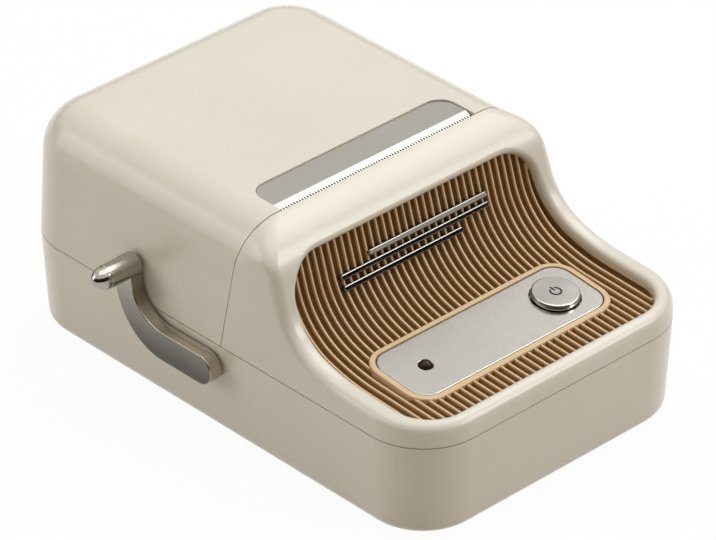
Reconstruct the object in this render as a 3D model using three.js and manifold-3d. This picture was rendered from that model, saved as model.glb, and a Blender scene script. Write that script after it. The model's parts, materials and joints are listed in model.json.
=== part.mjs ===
// Desktop label printer with a hinged lid, a swooping front rim and a ribbed inset panel.
// Millimetres, +Z up, nose towards -Y, lever on the -X side.
import * as THREE from 'three';
import { mergeVertices } from 'three/addons/utils/BufferGeometryUtils.js';
import Module from 'manifold-3d';

const wasm = await Module();
wasm.setup();

const rad = THREE.MathUtils.degToRad;

// Housing: width, parting line, wall, draft and corner sizes.
const bodyWidth = 84;
const halfWidth = bodyWidth / 2;
const footHeight = 0.5;
const underZ = footHeight;
const partingZ = 23.4;
const draftDeg = 3;
const draft = rad(draftDeg);
const planRadius = 15;
const wall = 2.2;
const floorZ = underZ + wall;
const underFillet = 2.5;
const lidFillet = 10.8;
const rimFillet = 2.6;
const leastFillet = 0.8;

// Clearances.
const seamGap = 0.3;
const fitGap = 0.3;
const runGap = 0.05;
const overlap = 0.6;
const reach = 200;

// The swoop: the top line of the nose seen from the side, running from the lid to the front lip.
const browY = -6.65;
const browRadius = 13.9;
const browDeg = 72.5;
const plungeLength = 3.75;
const scoopRadius = 14.9;
const scoopEndDeg = 18;
const runOutRadius = 41.5;
const deckDeg = 2.8;
const deckRun = 23.5614;
const deckRise = 6.1317;
const filletBlend = 14;
const swoopRun = browRadius * Math.sin(rad(browDeg)) + plungeLength * Math.cos(rad(browDeg))
  + scoopRadius * (Math.sin(rad(browDeg)) - Math.sin(rad(scoopEndDeg)))
  + runOutRadius * (Math.sin(rad(scoopEndDeg)) - Math.sin(rad(deckDeg)));
const swoopFall = browRadius * (1 - Math.cos(rad(browDeg))) + plungeLength * Math.sin(rad(browDeg))
  + scoopRadius * (Math.cos(rad(scoopEndDeg)) - Math.cos(rad(browDeg)))
  + runOutRadius * (Math.cos(rad(deckDeg)) - Math.cos(rad(scoopEndDeg)));
const frontY = browY - swoopRun - deckRun;
const deckZ = partingZ + deckRise;
const topZ = deckZ + swoopFall;

// Seam between lid and nose: a plane that leans forward as it rises.
const seamFootY = -3.35;
const seamFootRise = 0.8;
const seamFootZ = partingZ + seamFootRise;
const seamLean = 0.163;

// Opening in the nose, measured across and along the swoop.
const rimWidth = 5.6;
const frontLip = 5.2;
const openHalf = halfWidth - rimWidth;
const openTop = 12.2;
const openFrontY = frontY + frontLip;
const openTopRadius = 8.5;
const openFrontRadius = 9.5;
const openFillet = 2.3;
const openTaperDeg = 5;

// Ribbed panel.
const ribPitch = 2;
const ribCount = Math.round(2 * openHalf / ribPitch);
const ribTopWidth = 0.8;
const ribDepth = 3.7;
const ribHeight = 1;
const grooveDepth = ribDepth + ribHeight;
const panelThick = 1.1;
const panelDepth = grooveDepth + panelThick;
const flangeThick = 1;
const flangeDepth = panelDepth + flangeThick;
const flangeGrow = 1.6;
const flangeHalf = openHalf + flangeGrow;
const panelGap = 0.4;
const flangeLap = 0.35;
const collarDepth = panelDepth - flangeLap - 1.5 * fitGap;
const flangeTop = 19.5;

// Control plate, in a plane that tips towards the front.
const plateFrontRoom = 13.6;
const plateRoom = 6.36;
const plateSideRoom = 8.4;
const plateHalfX = openHalf - plateSideRoom;
const plateHalfY = (deckRun - plateRoom) / 2;
const plateY = frontY + plateFrontRoom + plateHalfY;
const plateSink = 2.0317;
const plateZ = deckZ - plateSink;
const plateTiltDeg = 5.5;
const plateCorner = 4.3;
const plateThick = 1;
const plateChamfer = 0.25;
const trayRail = 1.6;
const trayDrop = 4.2;
const trayRound = 0.3;
const padThick = 1.8;
const padDrop = trayDrop + padThick;
const padGrow = 1.5;
const trayLedge = 1.9;
const buttonX = plateHalfX - plateHalfY;
const buttonRadius = 5.4;
const buttonTopRadius = 4.95;
const buttonProud = 1.4;
const buttonTravel = 0.8;
const buttonFlange = 6.2;
const buttonFlangeTop = 1.3;
const buttonFlangeFoot = 2.1;
const buttonWell = 3.2;
const stemRadius = 1.5;
const stemTipRadius = 1.1;
const switchGap = 0.5;
const switchTall = 3.3;
const switchWellDepth = 1.5;
const switchTop = trayDrop + switchGap;
const switchFoot = switchTop + switchTall;
const switchWell = switchTop + switchWellDepth;
const switchHalf = 3;
const stemFoot = switchTop + fitGap;
const lensX = -buttonX;
const lensRadius = 1.5;
const lensDome = 0.35;
const lensFoot = 3.4;
const boardTop = switchFoot + fitGap;
const boardThick = 1.6;
const boardStep = 1.8;
const boardHalfX = plateHalfX + boardStep;
const boardHalfY = plateHalfY - boardStep;
const boardPostInset = 1.2;
const boardPostX = boardHalfX - boardPostInset;
const boardPostRadius = 1.1;
const boardPostMargin = 0.5;
const boardPostY = boardHalfY - boardPostRadius - boardPostMargin;

// Chrome trim bars on the ribbed panel.
const trimInset = 6;
const trimLength = 2 * (plateHalfX - trimInset);
const trimHeight = 1.3;
const trimDepth = 1.1;
const trimFirst = 20.2;
const trimPitch = 2.2;
const trimSteps = [trimFirst, trimFirst + trimPitch, trimFirst + 2 * trimPitch];
const trimShiftShares = [0.1, 0, -0.1];
const trimLengthShares = [0.8, 1, 0.8];
const trimStudRadius = 0.5;
const trimBackFace = fitGap - ribDepth;

// Room between the end of the platen and the lid's rounded edge.
const platenRoom = 3.7;
const platenHalf = halfWidth - lidFillet - platenRoom;

// Tear blade on the lid.
const bladeOver = 1.15;
const bladeHalf = platenHalf + bladeOver;
const bladeBackY = 2.4;
const bladeBendY = -4.2;
const bladeEdgeY = -7.4;
const bladeSink = 0.3;
const bladeTop = topZ - bladeSink;
const bladeThick = 1;
const bladeEdgeThick = 0.35;
const bladeCorner = 4.5;
const toothPitch = 1.02;
const toothDepth = 0.75;
const slotWidth = 0.9;

// Trough for the label roll: its radius sets where the hinge and the back wall stand.
const trayRadius = 21.5;
const trayWall = 1.5;
const trayFrontY = 6;
const rackGap = 0.7;
const rackThick = 2.2;
const rackFoot = floorZ + rackGap;
const rackTop = rackFoot + rackThick;
const trayFoot = rackTop + rackGap;
const rollY = trayFrontY + trayRadius;
const rollZ = trayFoot + trayWall + trayRadius;

// Lid hinge at the back.
const hingeRoom = 12.9;
const hingeInset = 3.1;
const hingeY = rollY + trayRadius + hingeRoom;
const backY = hingeY + hingeInset;
const bodyLength = backY - frontY;
const hingeRise = 3;
const hingeZ = partingZ + hingeRise;
const barrelRadius = 2.9;
const barrelInset = 16;
const barrelHalf = halfWidth - barrelInset;
const hingePinRadius = 1.2;
const hingePinInset = 0.8;
const hingePinHalf = barrelHalf - hingePinInset;
const earInset = 11;
const earX = barrelHalf - earInset;
const earHalf = 4;
const earFootY = hingeY - barrelRadius;
const earHeight = 8.4;
const earFootZ = hingeZ - earHeight;
const earGap = 0.4;

// Lever and latch.
const leverY = -0.3;
const leverDrop = 5.5;
const leverZ = partingZ - leverDrop;
const shaftRadius = 2.5;
const leverThick = 3.5;
const leverOuterX = -halfWidth - fitGap - leverThick;
const leverHalfWidth = 3.6;
const leverEndHalfWidth = 2.6;
const leverRun = 11.9;
const leverBendRadius = 12.3;
const leverBendDeg = 84;
const leverRise = 3.4;
const leverChamfer = 0.35;
const knobRadius = 2.75;
const knobLength = 7.5;
const knobDome = 2.5;
const knobShiftY = -0.4;
const knobGroove = 0.2;
const hookThick = 1.5;
const hookRoom = 0.8;
const hookInnerX = halfWidth - wall - hookRoom - hookThick;
const hookBossRadius = 4.2;
const hookStemY = 2.2;
const hookStemWide = 2.6;
const hookNoseY = -1;
const catchY = 0.4;
const catchRise = 2.5;
const catchZ = partingZ + catchRise;
const catchRadius = 1.2;
const hookNoseThick = 2.2;
const hookNoseZ = catchZ + catchRadius + fitGap;
const hookTopZ = hookNoseZ + hookNoseThick;
const catchLength = 3.9;
const catchInset = 1.1;
const catchOuterX = halfWidth - catchInset;
const catchInnerX = catchOuterX - catchLength;
const postHalf = 4;
const postDrop = 1.4;
const postTop = partingZ - postDrop;

// Platen carrier: cheeks at its ends, a beam between them and ribs under the lid.
const beamGap = 1.526;
const beamThick = 2.4;
const platenRadius = 5;
const platenCover = 6;
const platenZ = topZ - platenCover - platenRadius;
const beamDrop = 3;
const beamFoot = platenZ - beamDrop;
const carrierGap = 0.4;
const carrierTop = topZ - wall - carrierGap;
const carrierLong = 11.6;
const carrierRibX = platenHalf / 2;
const carrierScrewInset = 7.5;
const carrierScrewX = [carrierScrewInset - platenHalf, platenHalf - carrierScrewInset];
const carrierScrewBack = 3.8;
const carrierScrewCover = 1;
const carrierScrewTop = topZ - carrierScrewCover;
const bushRadius = 3;
const cheekWall = 0.4;
const cheekFront = bushRadius + cheekWall;
const cheekChin = bushRadius - cheekWall;
const cheekHeelY = bushRadius - 2 * cheekWall;
const cheekHeel = bushRadius + 3.5 * cheekWall;
const cheekFoot = bushRadius + cheekWall / 2;
const cheekBrow = bushRadius + 1.5 * cheekWall;
const cheekCrown = bushRadius + 2.5 * cheekWall;

// Platen, gear train and motor.
const platenShaftRadius = 2;
const platenEndGap = 0.9;
const cheekThick = 1.8;
const cheekInnerX = platenHalf + platenEndGap;
const cheekOuterX = cheekInnerX + cheekThick;
const bushFlange = 0.6;
const gearEndGap = 1;
const gearWide = 2.8;
const gearInnerX = cheekOuterX + gearEndGap;
const gearOuterX = gearInnerX + gearWide;
const gearModule = 0.8;
const platenTeeth = 12;
const idlerTeeth = 20;
const pinionTeeth = 10;
const idlerY = -6;
const pinionLeanDeg = 36;
const headOver = 0.5;
const headEndGap = 0.9;
const sidePlateThick = 1.2;
const headHalf = platenHalf + headOver;
const sidePlateInner = headHalf + headEndGap;
const sidePlateOuter = sidePlateInner + sidePlateThick;
const postThick = 2;
const postGap = 0.9;
const postOuterX = sidePlateInner - postGap;
const postInnerX = postOuterX - postThick;
const motorRadius = 8.5;
const motorLength = 17;
const motorFaceX = sidePlateInner - fitGap;
const motorBackX = motorFaceX - motorLength;
const flangeWideShare = 0.55;
const flangeTallShare = 1.15;
const motorShaftRadius = 1;
const axleRadius = 1.5;
const plateMargin = 1;
const plateFrontReach = motorRadius + plateMargin;
const plateRearY = -4.7;
const plateKneeDrop = 19.5;
const plateHipDrop = 16.5;
const plateKneeZ = platenZ - plateKneeDrop;
const plateHipZ = platenZ - plateHipDrop;
const plateShelfDrop = 12;
const plateNeckDrop = 4;
const plateCrownRise = 3.5;
const plateSeamDrop = 11;
const plateNeckGap = 0.52;
const plateTabThick = 1;
const plateTabFront = 9;
const plateTabBack = 4;
const pinionHole = 1.4;
const plateWindowY = 4.5;
const plateWindowZ = 6;
const plateWindowCorner = 3;
const axleCollar = 1;

// Print head, laid along the seam plane.
const headBelow = 9;
const headAbove = 4.6;
const ceramicThick = 1;
const sinkThick = 2.4;
const finThick = 0.9;
const bracketThick = 0.8;
const springRadius = 1.5;
const springWire = 0.3;
const springX = headHalf / 2;
const springDrop = -3;
const headSpringPitch = 0.85;
const leverSpringPitch = 1.1;
const bracketWindow = 6;
const sensorHalf = 4;
const sensorTall = 3;
const ribbonTopY = -9.6;
const ribbonTopDrop = 12;
const ribbonMidDrop = 16.5;
const ribbonTopZ = platenZ - ribbonTopDrop;
const ribbonMidZ = platenZ - ribbonMidDrop;
const ribbonThick = 0.4;
const ribbonLowY = -11;
const ribbonHalf = 7;

// Roll tray and its sliding guides.
const trayInset = 10.4;
const trayHalf = halfWidth - trayInset;
const trayEndThick = 1.5;
const trayTopDrop = 0.6;
const trayTopZ = partingZ - trayTopDrop;
const guideInset = 2.8;
const guideRest = trayHalf - guideInset;
const guideThick = 1.6;
const guideGap = 0.7;
const guideRadius = trayRadius - guideGap;
const guideRise = 6.7;
const guideTopZ = rollZ + guideRise;
const guideHubRadius = 6;
const guideHubDepth = 3;
const guideTravel = 15;
const guidePinionTeeth = 12;
const guideModule = 0.8;
const rackWide = 2.4;
const rackTail = 3.5;
const pinionPostRadius = 1.6;
const guideFootWide = 2.2;

// Boards, battery and socket.
const boardRise = 2.9;
const boardFoot = floorZ + boardRise;
const mainBoardHalfX = 16;
const mainBoardHalfY = 12.5;
const mainBoardRoom = 3.9;
const mainBoardX = mainBoardHalfX + mainBoardRoom - sidePlateInner;
const mainBoardY = -15.5;
const batterySideRoom = 15;
const batteryFrontRoom = 7.5;
const batteryGap = 5.5;
const batteryBackY = mainBoardY - mainBoardHalfY - batteryGap;
const batteryHalfX = halfWidth - batterySideRoom;
const batteryHalfY = (batteryBackY - frontY - batteryFrontRoom) / 2;
const batteryY = batteryBackY - batteryHalfY;
const batteryTall = 9;
const batteryFoot = floorZ + fitGap;
const batteryTop = batteryFoot + batteryTall;
const ribbonX = (motorBackX - sidePlateInner) / 2;
const ribbonGap = 2.2;
const ribbonLowZ = boardFoot + boardThick + ribbonGap;
const socketHalfX = 4.5;
const socketHalfZ = 1.6;
const socketRise = 7.1;
const socketZ = floorZ + socketRise;
const socketInset = 1;
const socketBackY = backY - socketInset;
const socketLength = 7.3;
const socketDepth = 5.6;
const socketBoardZ = socketZ - socketHalfZ - fitGap;
const socketBoardHalfX = 10;
const socketBoardInset = 2.6;
const socketBoardLong = 8.9;
const socketPostInset = 2;
const socketPostBack = 2.5;
const socketBoardBackY = socketBackY - socketBoardInset;
const socketBoardFrontY = socketBoardBackY - socketBoardLong;
const socketPostX = socketBoardHalfX - socketPostInset;
const socketPostY = socketBoardFrontY + socketPostBack;
const chipStep = 7;
const chipHalf = 3.2;
const chipTall = 0.9;

// Screws and feet.
const screwRadius = 1;
const screwHeadRadius = 1.9;
const screwHeadThick = 1.3;
const bossRadius = 2.2;
const bossRoom = 1.7;
const sideScrewX = halfWidth - wall - bossRoom - bossRadius;
const plateTabGap = 0.4;
const plateTabWide = sideScrewX - bossRadius - sidePlateOuter - plateTabGap;
const sideScrewAhead = 1.09;
const noseBossGap = 0.436;
const baseBossTop = partingZ - seamGap;
const screwSeatDrop = 0.5;
const screwSeatZ = floorZ - screwSeatDrop;
const tongueX = halfWidth / 3;
const tongueWide = 8;
const tongueThick = 1.2;
const tongueTall = 5.4;
const tongueFoot = partingZ - tongueTall;
const footRadius = 5.5;
const footSideInset = 13;
const footEndInset = 14;
const footX = halfWidth - footSideInset;
const footFrontY = frontY + footEndInset;
const footBackY = backY - footEndInset;
const footSink = 1.2;

const centreShiftX = (halfWidth - (leverOuterX - knobLength - knobDome)) / 2 - halfWidth;
const centreShiftY = -(frontY + backY) / 2;

const paint = (color, roughness, metalness) =>
  new THREE.MeshStandardMaterial({ color, roughness, metalness });

const leftRight = ['left', 'right'];
const group = new THREE.Group();
group.name = 'label_printer';

// Shared helpers: solids are joined and cut with manifold, and drawn with three.

function solid(geometry) {
  geometry.deleteAttribute('normal');
  geometry.deleteAttribute('uv');
  const merged = mergeVertices(geometry);
  const vertProperties = new Float32Array(merged.attributes.position.array);
  const triVerts = new Uint32Array(merged.index.array);
  return new wasm.Manifold(new wasm.Mesh({ numProp: 3, vertProperties, triVerts }));
}

function drawn(body) {
  const mesh = body.getMesh();
  const geometry = new THREE.BufferGeometry();
  geometry.setAttribute('position', new THREE.BufferAttribute(mesh.vertProperties, 3));
  geometry.setIndex(new THREE.BufferAttribute(mesh.triVerts, 1));
  return geometry;
}

function moved(body, matrix) {
  return solid(drawn(body).applyMatrix4(matrix));
}

function addPart(name, body, material) {
  const geometry = drawn(body);
  geometry.translate(centreShiftX, centreShiftY, 0);
  geometry.computeVertexNormals();
  const mesh = new THREE.Mesh(geometry, material);
  mesh.name = name;
  group.add(mesh);
}

// One part for each body in a list, named after its side or its number.
function addParts(name, endings, bodies, materialOf) {
  bodies.forEach((body, i) => addPart(`${name}_${endings[i]}`, body, materialOf()));
}

function joined(bodies) {
  return bodies.reduce((sum, body) => sum.add(body));
}

function box(x0, x1, y0, y1, z0, z1) {
  const geometry = new THREE.BoxGeometry(x1 - x0, y1 - y0, z1 - z0);
  geometry.translate((x0 + x1) / 2, (y0 + y1) / 2, (z0 + z1) / 2);
  return solid(geometry);
}

function slabZ(shape, z0, z1, segments = 4) {
  const geometry = new THREE.ExtrudeGeometry(shape, {
    depth: z1 - z0, bevelEnabled: false, curveSegments: segments,
  });
  geometry.translate(0, 0, z0);
  return solid(geometry);
}

// Largest turn of one facet along a curved run, and facets round the corners.
const facetTurn = rad(12);
const ribTurn = rad(18.5);

const turnYZX = new THREE.Matrix4().makeBasis(
  new THREE.Vector3(0, 1, 0), new THREE.Vector3(0, 0, 1), new THREE.Vector3(1, 0, 0));

// A plate drawn in the side view (y, z) and pulled along X.
function slabX(shape, x0, x1, segments = 4, chamfer = 0) {
  const geometry = new THREE.ExtrudeGeometry(shape, {
    depth: x1 - x0 - 2 * chamfer,
    bevelEnabled: chamfer > 0,
    bevelThickness: chamfer,
    bevelSize: chamfer,
    bevelOffset: -chamfer,
    bevelSegments: 1,
    curveSegments: segments,
  });
  geometry.translate(0, 0, x0 + chamfer);
  geometry.applyMatrix4(turnYZX);
  return solid(geometry);
}

function rodX(radius, x0, x1, y, z, sides = 16) {
  const geometry = new THREE.CylinderGeometry(radius, radius, x1 - x0, sides);
  geometry.rotateZ(-Math.PI / 2);
  geometry.translate((x0 + x1) / 2, y, z);
  return solid(geometry);
}

function rodZ(radius, z0, z1, x, y, sides = 12) {
  const geometry = new THREE.CylinderGeometry(radius, radius, z1 - z0, sides);
  geometry.rotateX(Math.PI / 2);
  geometry.translate(x, y, (z0 + z1) / 2);
  return solid(geometry);
}

function polygon(points) {
  return new THREE.Shape(points.map(([a, b]) => new THREE.Vector2(a, b)));
}

function roundedRect(halfX, halfY, corner, x = 0, y = 0) {
  const shape = new THREE.Shape();
  shape.absarc(x + halfX - corner, y + halfY - corner, corner, 0, Math.PI / 2, false);
  shape.absarc(x - halfX + corner, y + halfY - corner, corner, Math.PI / 2, Math.PI, false);
  shape.absarc(x - halfX + corner, y - halfY + corner, corner, Math.PI, 1.5 * Math.PI, false);
  shape.absarc(x + halfX - corner, y - halfY + corner, corner, 1.5 * Math.PI, 2 * Math.PI, false);
  shape.closePath();
  return shape;
}

// The swoop as a chain of lines and arcs.

function chain(start, pieces) {
  const total = pieces.reduce((sum, piece) => sum + piece.length, 0);
  function at(s) {
    let { y, z, slope } = start;
    let left = s;
    if (s <= 0) {
      return { y: y - s * Math.cos(slope), z: z - s * Math.sin(slope), slope };
    }
    for (const piece of pieces) {
      const run = Math.min(left, piece.length);
      if (piece.radius) {
        const next = slope + run / piece.radius;
        y -= piece.radius * (Math.sin(next) - Math.sin(slope));
        z -= piece.radius * (Math.cos(slope) - Math.cos(next));
        slope = next;
      } else {
        y -= run * Math.cos(slope);
        z -= run * Math.sin(slope);
      }
      left -= run;
    }
    return { y: y - left * Math.cos(slope), z: z - left * Math.sin(slope), slope };
  }
  function steps(from, to, turn) {
    const marks = [from];
    let s = 0;
    for (const piece of pieces) {
      const count = piece.radius
        ? Math.ceil(piece.length / Math.abs(piece.radius) / turn)
        : 1;
      for (let i = 0; i <= count; i += 1) {
        marks.push(s + piece.length * i / count);
      }
      s += piece.length;
    }
    marks.push(to);
    const sorted = marks.filter((m) => m >= from && m <= to).sort((a, b) => a - b);
    return sorted.filter((m, i) => i === 0 || m - sorted[i - 1] > seamGap);
  }
  return { at, steps, total };
}

const browTurn = rad(browDeg);
const scoopTurn = rad(browDeg - scoopEndDeg);
const runOutTurn = rad(scoopEndDeg - deckDeg);
const afterBrow = [
  { length: plungeLength },
  { length: scoopRadius * scoopTurn, radius: -scoopRadius },
  { length: runOutRadius * runOutTurn, radius: -runOutRadius },
];
const browPiece = { length: browRadius * browTurn, radius: browRadius };
const swoop = chain({ y: browY, z: topZ, slope: 0 }, [browPiece, ...afterBrow]);
const browEnd = swoop.at(browPiece.length);
const steepStart = chain(browEnd, afterBrow);
const panelLine = {
  at: (s) => steepStart.at(s - browPiece.length),
  steps: (from, to, turn) => steepStart
    .steps(from - browPiece.length, to - browPiece.length, turn)
    .map((s) => s + browPiece.length),
};

function lineLengthAtY(line, y) {
  let low = 0;
  let high = bodyLength;
  for (let i = 0; i < 40; i += 1) {
    const middle = (low + high) / 2;
    if (line.at(middle).y > y) {
      low = middle;
    } else {
      high = middle;
    }
  }
  return (low + high) / 2;
}

// The underside of the panel, and its height at a distance from the front.
const underLine = {
  at: (s) => {
    const { y, z, slope } = panelLine.at(s);
    return { y: y + Math.sin(slope) * flangeDepth, z: z - Math.cos(slope) * flangeDepth };
  },
};
const underPanelZ = (y) => underLine.at(lineLengthAtY(underLine, y)).z;

// Screw bosses stand just ahead of the brow and stop short of the panel.
const sideScrewY = browEnd.y - sideScrewAhead;
const noseBossTop = underPanelZ(sideScrewY - bossRadius) - noseBossGap;

// The necks of the side plates stand behind the panel's steep upper end.
const steepBackY = browEnd.y + Math.sin(browTurn) * panelDepth;
const steepBackZ = browEnd.z - Math.cos(browTurn) * panelDepth;
const plateNeckY = steepBackY + plateNeckGap
  + (platenZ + plateCrownRise - steepBackZ) / Math.tan(browTurn);

const openFront = lineLengthAtY(swoop, openFrontY);
const openFrontZ = swoop.at(openFront).z;

function edgeFillet(s) {
  const share = THREE.MathUtils.smoothstep(s, 0, filletBlend);
  return THREE.MathUtils.lerp(lidFillet, rimFillet, share);
}

// A closed body from the columns of its right half: each column runs from the lower cap to the upper.
function ladderBody(rightColumns) {
  const mirrored = rightColumns.map((column) => column.map((p) => new THREE.Vector3(-p.x, p.y, p.z)));
  const columns = [...rightColumns, ...mirrored.reverse()];
  const rows = columns[0].length;
  const count = columns.length;
  const positions = columns.flatMap((column) => column.flatMap((p) => [p.x, p.y, p.z]));
  const index = [];
  const quad = (a, b, c, d) => index.push(a, b, c, a, c, d);
  for (let i = 0; i < count; i += 1) {
    const next = (i + 1) % count;
    for (let k = 0; k + 1 < rows; k += 1) {
      quad(i * rows + k, i * rows + k + 1, next * rows + k + 1, next * rows + k);
    }
  }
  for (let i = 0; i + 1 < count / 2; i += 1) {
    const j = count - 1 - i;
    quad(i * rows, (i + 1) * rows, (j - 1) * rows, j * rows);
    const top = rows - 1;
    quad(j * rows + top, (j - 1) * rows + top, (i + 1) * rows + top, i * rows + top);
  }
  return closedFrom(positions, index);
}

// A closed body from its corners and faces, turned right side out.
function closedFrom(positions, index) {
  if (signedVolume(positions, index) < 0) {
    for (let i = 0; i < index.length; i += 3) {
      [index[i], index[i + 1]] = [index[i + 1], index[i]];
    }
  }
  const geometry = new THREE.BufferGeometry();
  geometry.setAttribute('position', new THREE.Float32BufferAttribute(positions, 3));
  geometry.setIndex(index);
  return solid(geometry);
}

function signedVolume(positions, index) {
  const point = (i) => new THREE.Vector3(positions[3 * i], positions[3 * i + 1], positions[3 * i + 2]);
  let volume = 0;
  for (let i = 0; i < index.length; i += 3) {
    volume += point(index[i]).dot(point(index[i + 1]).cross(point(index[i + 2])));
  }
  return volume / 6;
}

function slerp(a, b, share) {
  const angle = a.angleTo(b);
  const from = Math.sin((1 - share) * angle) / Math.sin(angle);
  const to = Math.sin(share * angle) / Math.sin(angle);
  return a.clone().multiplyScalar(from).addScaledVector(b, to);
}

// The whole housing as one closed body, set in from the outer face by inset.

function housing(inset, arcSteps, lowSteps, cornerSteps, turn) {
  const cornerX = halfWidth - planRadius;
  const radialAt = (z) => planRadius - inset - Math.abs(z - partingZ) * Math.tan(draft);
  const lowZ = underZ + inset;
  const lowFillet = Math.max(underFillet - inset, leastFillet);

  function column(phi, y, s) {
    const top = swoop.at(s);
    const fillet = Math.max(edgeFillet(s) - inset, leastFillet);
    const centreZ = top.z - Math.cos(top.slope) * (inset + fillet);
    const outward = new THREE.Vector3(Math.cos(phi), Math.sin(phi), 0);
    const base = new THREE.Vector3(cornerX, y, 0);
    const onWall = (z, radial) => base.clone().addScaledVector(outward, radial).setZ(z);
    const points = [];
    const down = new THREE.Vector3(0, 0, -1);
    const lowWall = outward.clone().multiplyScalar(Math.cos(draft)).setZ(-Math.sin(draft));
    const lowCentre = onWall(lowZ + lowFillet, radialAt(lowZ + lowFillet) - lowFillet / Math.cos(draft));
    for (let i = 0; i <= lowSteps; i += 1) {
      points.push(lowCentre.clone().addScaledVector(slerp(down, lowWall, i / lowSteps), lowFillet));
    }
    points.push(onWall(partingZ, radialAt(partingZ)));
    const centre = onWall(centreZ, radialAt(centreZ) - fillet / Math.cos(draft));
    const highWall = outward.clone().multiplyScalar(Math.cos(draft)).setZ(Math.sin(draft));
    const crest = new THREE.Vector3(0, -Math.sin(top.slope), Math.cos(top.slope));
    for (let i = 0; i <= arcSteps; i += 1) {
      points.push(centre.clone().addScaledVector(slerp(highWall, crest, i / arcSteps), fillet));
    }
    return points;
  }

  // Along a corner the arc's centre runs under the swoop, so its place on the swoop is searched for.
  function frontCorner(phi) {
    const y = frontY + planRadius;
    let s = lineLengthAtY(swoop, y);
    for (let i = 0; i < 8; i += 1) {
      const top = swoop.at(s);
      const fillet = Math.max(edgeFillet(s) - inset, leastFillet);
      const centreZ = top.z - Math.cos(top.slope) * (inset + fillet);
      const radial = radialAt(centreZ) - fillet / Math.cos(draft);
      const centreY = y + radial * Math.sin(phi);
      s = lineLengthAtY(swoop, centreY - Math.sin(top.slope) * (inset + fillet));
    }
    return column(phi, y, s);
  }

  const columns = [];
  for (let i = 0; i <= cornerSteps; i += 1) {
    columns.push(column(Math.PI / 2 * (1 - i / cornerSteps), backY - planRadius, 0));
  }
  const along = swoop.steps(0, swoop.total, turn);
  for (const s of along) {
    const top = swoop.at(s);
    const sunk = Math.max(edgeFillet(s), inset + leastFillet);
    columns.push(column(0, top.y + Math.sin(top.slope) * sunk, s));
  }
  for (let i = 0; i <= cornerSteps; i += 1) {
    columns.push(frontCorner(-Math.PI / 2 * (i / cornerSteps)));
  }
  return ladderBody(columns);
}

// A rounded rectangle laid on a line, sunk to the depths in its rows.

function sunkBlock(line, halfX, from, to, cornerFrom, cornerTo, rows, turn = facetTurn) {
  const steps = 5;
  const marks = [];
  for (let i = 0; i <= steps; i += 1) {
    const angle = Math.PI / 2 * (1 - i / steps);
    marks.push({
      x: halfX - cornerFrom + cornerFrom * Math.cos(angle),
      s: from + cornerFrom - cornerFrom * Math.sin(angle),
      mx: Math.cos(angle),
      ms: -Math.sin(angle),
    });
  }
  const between = line.steps(from + cornerFrom, to - cornerTo, turn);
  between.slice(1, -1).forEach((s) => marks.push({ x: halfX, s, mx: 1, ms: 0 }));
  for (let i = 0; i <= steps; i += 1) {
    const angle = Math.PI / 2 * (i / steps);
    marks.push({
      x: halfX - cornerTo + cornerTo * Math.cos(angle),
      s: to - cornerTo + cornerTo * Math.sin(angle),
      mx: Math.cos(angle),
      ms: Math.sin(angle),
    });
  }
  const columns = marks.map((mark) => rows.map(([grow, depth]) => {
    const point = line.at(mark.s + grow * mark.ms);
    const narrow = Math.max(point.z - openFrontZ, 0) * Math.tan(rad(openTaperDeg));
    const x = (mark.x + grow * mark.mx) - narrow * mark.x / halfX;
    return new THREE.Vector3(
      x, point.y + Math.sin(point.slope) * depth, point.z - Math.cos(point.slope) * depth);
  }));
  return ladderBody(columns);
}

// Splitting planes.

const seamY = (z) => seamFootY - seamLean * (z - seamFootZ);

// Places in the gear train that follow from the seam and the tooth counts.
const platenY = seamY(platenZ) + (platenRadius + fitGap) * Math.hypot(1, seamLean);
const beamY = platenY + platenRadius + beamGap;
const carrierBackY = beamY + carrierLong;
const carrierScrewY = carrierBackY - carrierScrewBack;
const trainUp = gearModule * (platenTeeth + idlerTeeth) / 2;
const idlerZ = platenZ - Math.sqrt(trainUp ** 2 - (platenY - idlerY) ** 2);
const trainDown = gearModule * (idlerTeeth + pinionTeeth) / 2;
const pinionY = idlerY - trainDown * Math.sin(rad(pinionLeanDeg));
const pinionZ = idlerZ - trainDown * Math.cos(rad(pinionLeanDeg));

function aheadOfSeam(gap) {
  return slabX(polygon([
    [-reach, -reach], [seamY(-reach) - gap, -reach], [seamY(reach) - gap, reach], [-reach, reach],
  ]), -reach, reach);
}

const upperHalf = box(-reach, reach, -reach, reach, partingZ + seamGap / 2, reach);
const lowerHalf = box(-reach, reach, -reach, reach, -reach, partingZ - seamGap / 2);

const outerBody = housing(0, 4, 2, 5, facetTurn);
const innerBody = housing(wall, 2, 1, 3, 2 * facetTurn);

// Tilted frame of the control plate: x across, y up the slope, z out of the face.

const plateFrame = new THREE.Matrix4()
  .makeRotationX(rad(plateTiltDeg))
  .setPosition(0, plateY, plateZ);
const onPlate = (body) => moved(body, plateFrame);

// Materials.
const shellCream = () => paint(0xe9e2d4, 0.42, 0);
const steel = () => paint(0xb9b9b6, 0.3, 1);
const chrome = () => paint(0xc9c8c4, 0.15, 1);
const darkPlastic = () => paint(0x2b2b2d, 0.55, 0);

// Nose shell: upper front of the housing with the swooping rim and the rounded opening.
function openingCutter() {
  const arc = [];
  const steps = 3;
  for (let i = 0; i <= steps; i += 1) {
    const angle = Math.PI / 2 * (i / steps);
    arc.push([openFillet * (1 - Math.cos(angle)), openFillet * (1 - Math.sin(angle))]);
  }
  const rows = [[0, 2 * collarDepth], ...arc, [openFillet, -collarDepth]];
  return sunkBlock(swoop, openHalf, openTop, openFront, openTopRadius, openFrontRadius, rows);
}

// Room behind the brow for the panel's upper edge.
function panelRoom() {
  return sunkBlock(panelLine, openHalf, openTop, openFront, openTopRadius, openFrontRadius,
    [[0, ribDepth - 2 * fitGap], [0, 2 * collarDepth]]);
}

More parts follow.
